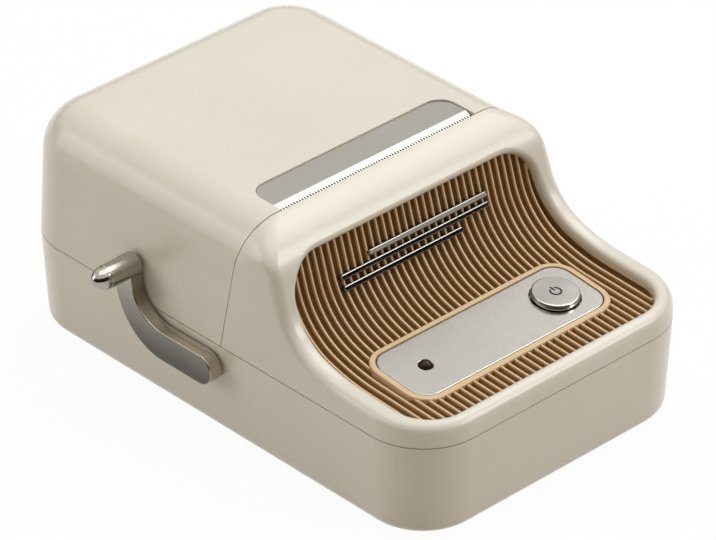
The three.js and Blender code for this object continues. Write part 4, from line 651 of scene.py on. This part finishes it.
def length_at(line, y):
    """The length along a line at which it reaches y."""
    low, high = 0.0, 2 * HALF_LENGTH
    for _ in range(40):
        middle = (low + high) / 2
        low, high = (middle, high) if line(middle)[0] > y else (low, middle)
    return (low + high) / 2


OPEN_FRONT = length_at(swoop, OPEN_FRONT_Y)
OPEN_FRONT_Z = swoop(OPEN_FRONT)[1]


def marks(start, end, first=0.0):
    """Stations along the line, dense on its arcs."""
    found = {start, end}
    s = first
    for length, radius in SWOOP:
        count = max(1, math.ceil(length / abs(radius) / FINE)) if radius else 4
        found.update(s + length * i / count for i in range(count + 1))
        s += length
    return sorted(m for m in found if start <= m <= end)


def ladder(name, right):
    """A closed body from the columns of its right half."""
    columns = right + [[(-x, y, z) for x, y, z in column] for column in reversed(right)]
    rows = len(right[0])
    count = len(columns)
    points = [p for column in columns for p in column]
    faces = []
    for i in range(count):
        j = (i + 1) % count
        faces += [(i * rows + k, i * rows + k + 1, j * rows + k + 1, j * rows + k) for k in range(rows - 1)]
    for i in range(count // 2 - 1):
        j = count - 1 - i
        for k in (0, rows - 1):
            faces.append((i * rows + k, (i + 1) * rows + k, (j - 1) * rows + k, j * rows + k))
    return from_points(name, points, faces)


def edge_fillet(s):
    """The edge rounding, eased from the lid's to the rim's."""
    share = min(max(s / FILLET_BLEND, 0.0), 1.0)
    share = share * share * (3 - 2 * share)
    return LID_FILLET + (RIM_FILLET - LID_FILLET) * share


def between(a, b, share):
    """A direction on the arc between two others."""
    angle = a.angle(b)
    return (a * math.sin((1 - share) * angle) + b * math.sin(share * angle)) / math.sin(angle)


def housing(name, inset, arc_steps, low_steps, corner_steps):
    """The closed body of the whole housing, drawn in by an inset."""
    corner_x, corner_y = HALF_WIDTH - PLAN_RADIUS, HALF_LENGTH - PLAN_RADIUS
    low_z = UNDER_Z + inset
    low_fillet = max(UNDER_FILLET - inset, LEAST_FILLET)

    def radial(z):
        return PLAN_RADIUS - inset - abs(z - PARTING_Z) * math.tan(DRAFT)

    def parts(s):
        _, z, slope = swoop(s)
        fillet = max(edge_fillet(s) - inset, LEAST_FILLET)
        return slope, fillet, z - math.cos(slope) * (inset + fillet)

    def column(phi, y, s):
        slope, fillet, centre_z = parts(s)
        outward = Vector((math.cos(phi), math.sin(phi), 0.0))
        base = Vector((corner_x, y, 0.0))

        def on_wall(z, reach):
            return base + outward * reach + Vector((0.0, 0.0, z))

        low_wall = outward * math.cos(DRAFT) - Vector((0.0, 0.0, math.sin(DRAFT)))
        high_wall = outward * math.cos(DRAFT) + Vector((0.0, 0.0, math.sin(DRAFT)))
        crest = Vector((0.0, -math.sin(slope), math.cos(slope)))
        low_centre = on_wall(low_z + low_fillet, radial(low_z + low_fillet) - low_fillet / math.cos(DRAFT))
        centre = on_wall(centre_z, radial(centre_z) - fillet / math.cos(DRAFT))
        points = [low_centre + between(Vector((0.0, 0.0, -1.0)), low_wall, i / low_steps) * low_fillet
                  for i in range(low_steps + 1)]
        points.append(on_wall(PARTING_Z, radial(PARTING_Z)))
        points += [centre + between(high_wall, crest, i / arc_steps) * fillet for i in range(arc_steps + 1)]
        return [tuple(p) for p in points]

    def corner_column(phi, y):
        s = length_at(swoop, y)
        for _ in range(10 if y < 0 else 0):
            slope, fillet, centre_z = parts(s)
            reach = radial(centre_z) - fillet / math.cos(DRAFT)
            s = length_at(swoop, y + reach * math.sin(phi) - math.sin(slope) * (inset + fillet))
        return column(phi, y, 0.0 if y > 0 else s)

    columns = [corner_column(math.pi / 2 * (1 - i / corner_steps), corner_y) for i in range(corner_steps + 1)]
    for s in marks(0.0, sum(length for length, _ in SWOOP)):
        y, _, slope = swoop(s)
        columns.append(column(0.0, y + math.sin(slope) * max(edge_fillet(s), inset + LEAST_FILLET), s))
    columns += [corner_column(-math.pi / 2 * i / corner_steps, -corner_y) for i in range(corner_steps + 1)]
    return ladder(name, columns)


def sunk(name, line, half, start, end, corner_start, corner_end, rows, steps=12):
    """A rounded rectangle laid on a line and sunk to the depths in its rows."""
    stations = []
    for i in range(steps + 1):
        angle = math.pi / 2 * (1 - i / steps)
        stations.append((half - corner_start + corner_start * math.cos(angle),
                         start + corner_start - corner_start * math.sin(angle), math.cos(angle), -math.sin(angle)))
    stations += [(half, s, 1.0, 0.0) for s in marks(start + corner_start, end - corner_end)[1:-1]]
    for i in range(steps + 1):
        angle = math.pi / 2 * i / steps
        stations.append((half - corner_end + corner_end * math.cos(angle),
                         end - corner_end + corner_end * math.sin(angle), math.cos(angle), math.sin(angle)))
    columns = []
    for x, s, mx, ms in stations:
        column = []
        for grow, depth in rows:
            y, z, slope = line(s + grow * ms)
            narrow = max(z - OPEN_FRONT_Z, 0.0) * math.tan(OPEN_TAPER)
            column.append((x + grow * mx - narrow * x / half,
                           y + math.sin(slope) * depth, z - math.cos(slope) * depth))
        columns.append(column)
    return ladder(name, columns)


def in_opening(name, line, inset, rows, corner_inset=0.0):
    """The opening's outline, drawn in by an inset and sunk to the depths in its rows."""
    return sunk(name, line, OPEN_HALF - inset, OPEN_TOP + inset, OPEN_FRONT - inset,
                OPEN_TOP_RADIUS - corner_inset, OPEN_FRONT_RADIUS - corner_inset, rows)


def halved(piece, point, normal, keep_outer=False):
    """Cuts a closed piece with a plane, drops one side and closes the cut."""
    place = ((point[0] + SHIFT_X) * MM, point[1] * MM, point[2] * MM)
    edit(piece, lambda: bpy.ops.mesh.bisect(
        plane_co=place, plane_no=normal, use_fill=True, clear_inner=keep_outer, clear_outer=not keep_outer))
    return piece


def seam_y(z):
    return SEAM_Y - SEAM_LEAN * (z - SEAM_Z)


SEAM_NORMAL = Vector((0.0, 1.0, SEAM_LEAN)).normalized()


def shells():
    """The three housings, cut from one body along their seams."""
    outer = housing("outer", 0.0, 12, 8, 14)
    inner = housing("inner", WALL, 6, 3, 8)
    parting = PARTING_Z + SEAM_GAP / 2

    base = halved(copied(outer, "base_casing"), (0, 0, PARTING_Z - SEAM_GAP / 2), (0, 0, 1))
    cut(base, copied(inner, "hollow"))
    for side in (-1, 1):
        x0, x1 = side * EAR_X - EAR_HALF, side * EAR_X + EAR_HALF
        cut(base, rod("ear", "X", BARREL, x0, x1, (HINGE_Y, HINGE_Z)), "UNION")
        cut(base, cube("ear_stem", x0, x1, EAR_FOOT_Y, HINGE_Y, EAR_FOOT_Z, HINGE_Z), "UNION")
        root = cube("ear_root", x0, x1, EAR_FOOT_Y, HALF_LENGTH - WALL / 2, EAR_FOOT_Z, PARTING_Z - SEAM_GAP)
        cut(base, root, "UNION")
    cut(base, rod("shaft_hole", "X", SHAFT_HOLE, -FAR, -HALF_WIDTH + 2 * WALL, (SHAFT_Y, SHAFT_Z)))
    socket = cube("socket_hole", -SOCKET_HALF, SOCKET_HALF, SOCKET_Y, FAR, SOCKET_LOW, SOCKET_TOP)
    cut(base, round_edges(socket, "Y", SOCKET_CORNER, 8))
    for side in (-1, 1):
        for y in (-FOOT_Y, FOOT_Y):
            cut(base, rod("foot_recess", "Z", FOOT_RECESS, -FAR, UNDER_Z + FOOT_ROOM, (side * FOOT_X, y)))
        cut(base, rod("screw_recess", "Z", SCREW_RECESS, -FAR, WALL, (side * SCREW_X, SCREW_Y)))

    lid = halved(copied(outer, "lid_casing"), (0, 0, parting), (0, 0, 1), True)
    halved(lid, (0, seam_y(parting) + SEAM_GAP / 2, parting), SEAM_NORMAL, True)
    cut(lid, copied(inner, "hollow"))
    corner = extruded("rear_corner", [(HINGE_Y, -FAR), (FAR, -FAR), (FAR, HINGE_Z), (HINGE_Y, HINGE_Z)], -FAR, FAR)
    cut(corner, rod("round", "X", BARREL, -FAR, FAR, (HINGE_Y, HINGE_Z), 96))
    cut(lid, corner)
    cut(lid, rod("barrel", "X", BARREL - 0.01, -BARREL_HALF, BARREL_HALF, (HINGE_Y, HINGE_Z)), "UNION")
    for side in (-1, 1):
        x0, x1 = side * EAR_X - EAR_HALF - EAR_GAP, side * EAR_X + EAR_HALF + EAR_GAP
        cut(lid, rod("ear_slot", "X", BARREL + EAR_GAP, x0, x1, (HINGE_Y, HINGE_Z)))
        cut(lid, cube("ear_way", x0, x1, EAR_FOOT_Y - EAR_GAP, FAR, 0.0, HINGE_Z))
    half = BLADE_HALF + BLADE_GAP
    pocket = cube("blade_pocket", -half, half, -FAR, BLADE_BACK_Y + BLADE_GAP, BLADE_TOP - BLADE_THICK - GAP, FAR)
    cut(lid, round_edges(pocket, "Z", BLADE_CORNER + BLADE_GAP, 16))

    nose = halved(copied(outer, "nose_casing"), (0, 0, parting), (0, 0, 1), True)
    halved(nose, (0, seam_y(parting) - SEAM_GAP / 2, parting), SEAM_NORMAL)
    collar = sunk("collar", swoop, 2 * HALF_WIDTH, OPEN_TOP, 2 * HALF_LENGTH, 0.6, 0.6,
                  [(0, -COLLAR), (0, COLLAR)], 1)
    cut(nose, cut(copied(inner, "hollow"), collar))
    arc = [(OPEN_FILLET * (1 - math.cos(a)), OPEN_FILLET * (1 - math.sin(a)))
           for a in (math.pi / 2 * i / 8 for i in range(9))]
    cut(nose, in_opening("opening", swoop, 0.0, [(0, 2 * COLLAR), *arc, (OPEN_FILLET, -COLLAR)]))
    cut(nose, in_opening("panel_room", panel_line, -EASE, [(0, RIB_DEPTH - 2 * GAP), (0, 2 * COLLAR + EASE)]))
    for piece, node in ((base, "base_shell"), (lid, "lid_shell"), (nose, "nose_shell")):
        tidy_mesh(piece)
        smooth(piece)
        dressed(piece, "shell", BODY[node], node)
    for spare in (outer, inner):
        bpy.data.objects.remove(spare)


def fluted_comb():
    """The flute outline, drawn once, repeated across and carried down the panel line."""
    steps = 10
    bpy.ops.mesh.primitive_plane_add(size=MM, location=(0, 0, 0))
    comb = bpy.context.object
    comb.name = "fluted_panel"
    comb.scale = (RIB_PITCH, PANEL_DEPTH - RIB_DEPTH, 1.0)
    apply_place(comb)
    pick_edges(comb, lambda a, b: abs((a - b).x) > 0.5 * RIB_PITCH * MM)
    bpy.ops.mesh.subdivide(number_cuts=steps + 1)
    bpy.ops.object.mode_set(mode="OBJECT")
    outer = max(v.co.y for v in comb.data.vertices)
    flute = RIB_PITCH - RIB_TOP
    inner_points = sorted({round(v.co.x, 7) for v in comb.data.vertices})
    for vertex in comb.data.vertices:
        place = inner_points.index(round(vertex.co.x, 7))
        share = min(max((place - 1) / steps, 0.0), 1.0)
        if 0 < place < len(inner_points) - 1:
            vertex.co.x = (share - 0.5) * flute * MM
        if vertex.co.y > outer - EASE * MM:
            vertex.co.y -= (GROOVE_DEPTH - RIB_DEPTH) * math.sin(math.pi * share) ** 0.7 * MM
    modify(comb, "ARRAY", count=RIB_COUNT + 1, use_relative_offset=False, use_constant_offset=True,
           constant_offset_displace=(RIB_PITCH * MM, 0, 0), use_merge_vertices=True, merge_threshold=MERGE)
    start = OPEN_TOP - 0.6
    y, z, slope = panel_line(start)
    depth = (RIB_DEPTH + PANEL_DEPTH) / 2
    first = SHIFT_X - RIB_COUNT / 2 * RIB_PITCH
    stand = Matrix.Translation((first * MM, (y + math.sin(slope) * depth) * MM, (z - math.cos(slope) * depth) * MM))
    laid(comb, stand @ Matrix.Rotation(slope + math.pi / 2, 4, "X"))
    return comb, start


def fine_panel():
    """The fluted panel: swept down the panel line, then trimmed to the opening."""
    panel, s = fluted_comb()

    def ahead(length):
        _, _, slope = panel_line(s)
        step = (0, -math.cos(slope) * length * MM, -math.sin(slope) * length * MM)
        return lambda: bpy.ops.mesh.extrude_region_move(TRANSFORM_OT_translate={"value": step})

    def round_arc(radius, turn, steps):
        y, z, slope = panel_line(s)
        centre = (0, (y - math.sin(slope) * radius) * MM, (z + math.cos(slope) * radius) * MM)
        return lambda: bpy.ops.mesh.spin(steps=steps, angle=turn, center=centre, axis=(1, 0, 0), dupli=False)

    runs = [ahead(BROW_RUN + PLUNGE - s)]
    s = BROW_RUN + PLUNGE
    runs.append(round_arc(SCOOP_RADIUS, SCOOP_TURN, 18))
    s += SCOOP_RADIUS * SCOOP_TURN
    runs.append(round_arc(RUN_OUT_RADIUS, RUN_OUT_TURN, 6))
    s += RUN_OUT_RADIUS * RUN_OUT_TURN
    runs.append(ahead(OPEN_FRONT - s))
    edit(panel, *runs)
    tidy_mesh(panel)
    over = 2 * GAP
    cut(panel, in_opening("panel_trim", panel_line, PANEL_GAP,
                          [(0, RIB_DEPTH - over), (0, PANEL_DEPTH + over)], PANEL_GAP), "INTERSECT")
    wall = in_opening("panel_wall", panel_line, PANEL_GAP / 2,
                      [(0, RIB_DEPTH - WALL_RISE), (0, PANEL_DEPTH - EASE)])
    cut(wall, in_opening("wall_room", panel_line, PANEL_WALL, [(0, -COLLAR), (0, 2 * COLLAR)], PANEL_WALL))
    cut(panel, wall, "UNION")
    cut(panel, on_plate(plate_box("tray_pocket", TRAY_RAIL + PANEL_GAP, -TRAY_DROP - GAP, 4 * TRAY_DROP, 12)))
    tidy_mesh(panel)
    smooth(panel, 35.0)
    dressed(panel, "panel", "base", "ribbed_panel")


def plate_group():
    """The tray frame, the control plate, the button with its symbol, and the lens."""
    button_place, lens_place = (BUTTON_X - SHIFT_X, 0), (LENS_X - SHIFT_X, 0)
    tray = plate_box("tray", TRAY_RAIL, -TRAY_DROP, 0.1)
    bevelled(tray, 0.35, 4, 60)
    cut(tray, plate_box("well", GAP, -PLATE_THICK - GAP, TRAY_DROP))
    cut(tray, rod("button_well", "Z", 6.5, -3.2, TRAY_DROP, button_place))
    cut(tray, rod("stem_hole", "Z", 1.8, -FAR, FAR, button_place))
    cut(tray, rod("lens_hole", "Z", LENS_RADIUS + GAP, -FAR, FAR, lens_place))
    on_plate(tray)
    smooth(tray)
    dressed(tray, "tray", "base", "tray_frame")

    plate = plate_box("plate", 0.0, -PLATE_THICK, 0.0)
    cut(plate, rod("button_hole", "Z", BUTTON_RADIUS + GAP, -FAR, FAR, button_place, 96))
    cut(plate, rod("lens_seat", "Z", LENS_RADIUS + GAP / 2, -FAR, FAR, lens_place))
    bevelled(plate, 0.18, 3, 60)
    on_plate(plate)
    smooth(plate)
    dressed(plate, "plate", "base", "control_plate")

    button = turned("button_cap", [
        (0, -5), (1.1, -5), (1.1, -3.9), (1.5, -3.9), (1.5, -2.1), (6.2, -2.1), (6.2, -1.3), (5.4, -1.3),
        (5.4, 1.0), (5.37, 1.16), (5.29, 1.28), (5.17, 1.36), (5.0, 1.4), (0, 1.4)], 96)
    laid(button, Matrix.Translation((BUTTON_X * MM, 0, 0)))
    on_plate(button)
    smooth(button)
    dressed(button, "chrome", "button", "power_button")

    ring = turned("power_symbol", [(1.02, 1.36), (1.42, 1.36), (1.42, 1.44), (1.02, 1.44), (1.02, 1.36)], 96)
    cut(ring, cube("ring_gap", -0.58 - SHIFT_X, 0.58 - SHIFT_X, 0.0, 3.0, 0.0, 3.0))
    bar = cube("symbol_bar", -0.2 - SHIFT_X, 0.2 - SHIFT_X, 0.35, 1.75, 1.36, 1.44)
    cut(ring, bar, "UNION")
    laid(ring, Matrix.Translation((BUTTON_X * MM, 0, 0)))
    on_plate(ring)
    smooth(ring)
    dressed(ring, "dark_plastic", "button", finish=SYMBOL_INK)

    dome = [(1.5 * math.cos(a), 1.05 * math.sin(a)) for a in (math.pi / 2 * i / 12 for i in range(12))]
    lens = turned("lens_dome", [(0, -3.4), (1.5, -3.4), *dome, (0, 1.05)], 64)
    laid(lens, Matrix.Translation((LENS_X * MM, 0, 0)))
    on_plate(lens)
    smooth(lens)
    dressed(lens, "lens", "base", "indicator_lens")


def fine_blade():
    """The tear blade: a sheet with rounded back corners, a bevelled nose and fine round notches."""
    blade = cube("tear_blade_fine", -BLADE_HALF, BLADE_HALF, BLADE_TIP_Y, BLADE_BACK_Y,
                 BLADE_TOP - BLADE_THICK, BLADE_TOP)
    pick_edges(blade, lambda a, b: abs((a - b).z) > 0.5 * BLADE_THICK * MM and a.y > 0)
    bpy.ops.mesh.bevel(offset=BLADE_CORNER * MM, segments=20, affect="EDGES")
    bpy.ops.object.mode_set(mode="OBJECT")
    halved(blade, (0, BLADE_BEND_Y, BLADE_TOP), (0, -math.sin(BLADE_BEVEL), math.cos(BLADE_BEVEL)))
    bevelled(blade, 0.1, 2, 60)
    bpy.ops.mesh.primitive_cylinder_add(vertices=20, radius=1.0, depth=4 * BLADE_THICK * MM, location=(
        (SHIFT_X - (TOOTH_COUNT - 1) / 2 * TOOTH_PITCH) * MM, BLADE_TIP_Y * MM, BLADE_TOP * MM))
    notches = bpy.context.object
    notches.scale = (TOOTH_HALF * MM, TOOTH_DEPTH * MM, 1.0)
    apply_place(notches)
    modify(notches, "ARRAY", count=TOOTH_COUNT, use_relative_offset=False, use_constant_offset=True,
           constant_offset_displace=(TOOTH_PITCH * MM, 0, 0))
    cut(blade, notches)
    smooth(blade, 6.0)
    dressed(blade, "blade", "lid", "tear_blade")


def lever_point(s):
    """Point and heading on the lever's middle line."""
    run = min(s, LEVER_RUN)
    arc = min(s - run, LEVER_RADIUS * LEVER_TURN)
    rise = s - run - arc
    angle = arc / LEVER_RADIUS
    y = SHAFT_Y + run + LEVER_RADIUS * math.sin(angle) + rise * math.cos(angle)
    z = SHAFT_Z + LEVER_RADIUS * (1 - math.cos(angle)) + rise * math.sin(angle)
    return y, z, angle


def lever_pieces():
    total = LEVER_RUN + LEVER_RADIUS * LEVER_TURN + LEVER_RISE
    end_y, end_z, heading = lever_point(total)
    upper, lower = [], []
    count = 40
    for i in range(count + 1):
        s = total * i / count
        y, z, angle = lever_point(s)
        share = min(max((s - LEVER_RUN) / (total - LEVER_RUN), 0.0), 1.0)
        half = LEVER_FOOT + (LEVER_TOP - LEVER_FOOT) * share * share * (3 - 2 * share)
        upper.append((y - half * math.sin(angle), z + half * math.cos(angle)))
        lower.append((y + half * math.sin(angle), z - half * math.cos(angle)))
    pivot = [(SHAFT_Y + LEVER_FOOT * math.cos(a), SHAFT_Z + LEVER_FOOT * math.sin(a))
             for a in (math.pi * (0.5 + i / 20) for i in range(1, 20))]
    top = [(end_y + LEVER_TOP * math.cos(a), end_z + LEVER_TOP * math.sin(a))
           for a in (heading - math.pi / 2 + math.pi * i / 16 for i in range(1, 16))]
    arm = extruded("arm", upper[::-1] + pivot + lower + top, LEVER_OUTER_X, LEVER_INNER_X)
    bevelled(arm, 0.3, 4, 50)
    cut(arm, rod("shaft_seat", "X", SHAFT_HOLE, -44.6, -FAR / 10, (SHAFT_Y, SHAFT_Z)))
    smooth(arm, 35.0)
    dressed(arm, "lever", "lever", "lever_arm")

    dome = [(2.68 * math.cos(a), 8.5 + 3.6 * math.sin(a)) for a in (math.pi / 2 * i / 12 for i in range(12))]
    knob = turned("knob", [(0, 0.0), (2.6, 0.0), (2.74, 0.14), (2.74, 8.44), (2.68, 8.5), *dome[1:], (0, 12.1)], 64)
    place = Matrix.Translation(((KNOB_X + SHIFT_X) * MM, (end_y - KNOB_BACK) * MM, end_z * MM))
    laid(knob, place @ Matrix.Rotation(-math.pi / 2, 4, "Y"))
    smooth(knob)
    dressed(knob, "chrome", "lever", "lever_knob", finish=KNOB_NICKEL)


def trim_pieces():
    """Three plain bars across the ribs: the place down the panel, the shift to one side, the length."""
    bars = (("upper", 20.2, 4.4, 35.2), ("middle", 22.4, 0.0, 44.0), ("lower", 24.6, -4.4, 35.2))
    for name, s, shift, length in bars:
        y, z, slope = panel_line(s)
        bar = centred_box("bar_" + name, length / 2, BAR_HALF, -BAR_SEAT, BAR_HEIGHT - BAR_SEAT)
        round_edges(bar, "Z", 0.55, 6)
        bevelled(bar, 0.3, 4, 60)
        place = Matrix.Translation(((shift + SHIFT_X) * MM, y * MM, z * MM)) @ Matrix.Rotation(slope, 4, "X")
        laid(bar, place)
        smooth(bar)
        dressed(bar, "chrome", "base", "trim_bar_" + name, finish=BAR_CHROME)


def foot_pieces():
    foot = turned("foot", [(0, 0), (5.2, 0), (5.5, 0.25), (5.5, 1.4), (0, 1.4)], 64)
    for side, x in (("left", -FOOT_X), ("right", FOOT_X)):
        for end, y in (("front", -FOOT_Y), ("back", FOOT_Y)):
            piece = copied(foot, f"foot_{end}_{side}")
            laid(piece, Matrix.Translation(((x + SHIFT_X) * MM, y * MM, 0)))
            smooth(piece)
            dressed(piece, "rubber", "base", f"rubber_foot_{end}_{side}")
    bpy.data.objects.remove(foot)


def carried_over():
    """The other nodes keep their shape: a merged, smooth-shaded copy stands for each."""
    shown = [n for n in nodes if not nodes[n].hide_render]
    for name in shown:
        copy = copied(nodes[name], name + "_finished")
        copy.parent = None
        for key in list(copy.keys()):
            del copy[key]
        edit(copy, lambda: bpy.ops.mesh.remove_doubles(threshold=MERGE / 10))
        smooth(copy, 30.0)
        dressed(copy, SLOT[name], BODY[name], name)


def camera():
    level = math.cos(VIEW_ELEVATION)
    back = Vector((math.sin(VIEW_AZIMUTH) * level, -math.cos(VIEW_AZIMUTH) * level, math.sin(VIEW_ELEVATION)))
    right = Vector((0, 0, 1)).cross(back).normalized()
    up = back.cross(right)
    place = back * VIEW_BACK + right * VIEW_RIGHT + up * VIEW_UP + Vector((SHIFT_X, 0, UNDER_Z))
    data = bpy.data.cameras.new("camera")
    data.sensor_width = SENSOR_WIDTH
    data.lens = FOCAL_PIXELS * SENSOR_WIDTH / PICTURE_WIDTH
    data.clip_start, data.clip_end = 0.05, 20.0
    eye = bpy.data.objects.new("camera", data)
    eye.matrix_world = Matrix.Translation(place * MM) @ Matrix((right, up, back)).transposed().to_4x4()
    bpy.context.collection.objects.link(eye)
    bpy.context.scene.camera = eye


def lamp(name, place, aim, size, power):
    data = bpy.data.lights.new(name, "AREA")
    data.shape = "RECTANGLE"
    data.size, data.size_y = size
    data.energy = power
    light = bpy.data.objects.new(name, data)
    light.location = place
    light.rotation_euler = (Vector(aim) - Vector(place)).to_track_quat("-Z", "Y").to_euler()
    bpy.context.collection.objects.link(light)


def seen_or_mirrored(tree):
    """One where the ray comes from the camera, off metal or through glass."""
    path = tree.node("ShaderNodeLightPath", output="Is Camera Ray")
    rays = path.socket.node.outputs
    seen = path.maths("MAXIMUM", Wire(tree, rays["Is Glossy Ray"]))
    return path, seen.maths("MAXIMUM", Wire(tree, rays["Is Transmission Ray"]))


def studio():
    """A pale floor, a white surround that only the camera and gloss see, and four softboxes."""
    bpy.ops.mesh.primitive_plane_add(size=8.0, location=(0, 0, 0))
    floor = bpy.context.object
    floor.name = "floor"
    tree = Tree(bpy.data.materials.new("pale_floor"))
    looked_at, seen = seen_or_mirrored(tree)
    tree.set(Base_Color=tree.blend(looked_at, (0.55, 0.49, 0.39, 1.0), (1.0, 1.0, 1.0, 1.0)), Roughness=0.9)
    glow = tree.node("ShaderNodeEmission", {}, {"Color": (1.0, 1.0, 1.0, 1.0), "Strength": 1.0})
    plain = Wire(tree, tree.shader.outputs[0])
    mixed = tree.node("ShaderNodeMixShader", {}, {0: seen * 0.95, 1: plain, 2: glow})
    tree.links.new(mixed.socket, tree.nodes["Material Output"].inputs["Surface"])
    floor.data.materials.append(tree.material)

    world = bpy.data.worlds.new("studio")
    bpy.context.scene.world = world
    tree = Tree(world)
    _, seen = seen_or_mirrored(tree)
    fill = tree.node("ShaderNodeBackground", {}, {"Color": (1.0, 0.95, 0.87, 1.0), "Strength": 0.27})
    white = tree.node("ShaderNodeBackground", {}, {"Color": (1.0, 1.0, 1.0, 1.0), "Strength": 1.0})
    mixed = tree.node("ShaderNodeMixShader", {}, {0: seen, 1: fill, 2: white})
    tree.links.new(mixed.socket, tree.nodes["World Output"].inputs["Surface"])
    lamp("top_softbox", (0.05, 0.05, 0.9), (0.0, 0.0, 0.0), (0.8, 0.7), 2.5)
    lamp("key_softbox", (0.6, 0.0, 0.85), (0.0, 0.0, 0.0), (0.8, 0.42), 2.9)
    lamp("left_softbox", (-0.79, 0.79, 0.45), (0, 0, 0.02), (0.7, 0.7), 3.4)
    lamp("right_softbox", (0.6, -0.75, 0.72), (0, -0.02, 0.02), (0.4, 0.4), 3.0)
    bpy.context.scene.view_settings.view_transform = "Standard"


def dark_skirt():
    """A dark studio curtain low around the table, higher behind the camera, that only shows in gloss."""
    bpy.ops.mesh.primitive_cylinder_add(
        vertices=96, radius=1.6, depth=2.4, end_fill_type="NOTHING", location=(0, 0, 1.2))
    skirt = bpy.context.object
    skirt.name = "dark_curtain"
    apply_place(skirt)
    edit(skirt, lambda: bpy.ops.mesh.bisect(plane_co=(0, 0, 0.78), plane_no=(0.21, 0.22, 1.0), clear_outer=True))
    skirt.visible_camera = skirt.visible_diffuse = skirt.visible_shadow = skirt.visible_transmission = False
    tree = Tree(bpy.data.materials.new("dark_cloth"))
    weave = tree.noise(0.002, 2.0)
    tree.set(Base_Color=tree.blend(weave, rgb("1E1D1B"), rgb("2A2826")), Roughness=1.0)
    skirt.data.materials.append(tree.material)


camera()
shells()
fine_panel()
plate_group()
fine_blade()
lever_pieces()
trim_pieces()
foot_pieces()
carried_over()
studio()
dark_skirt()
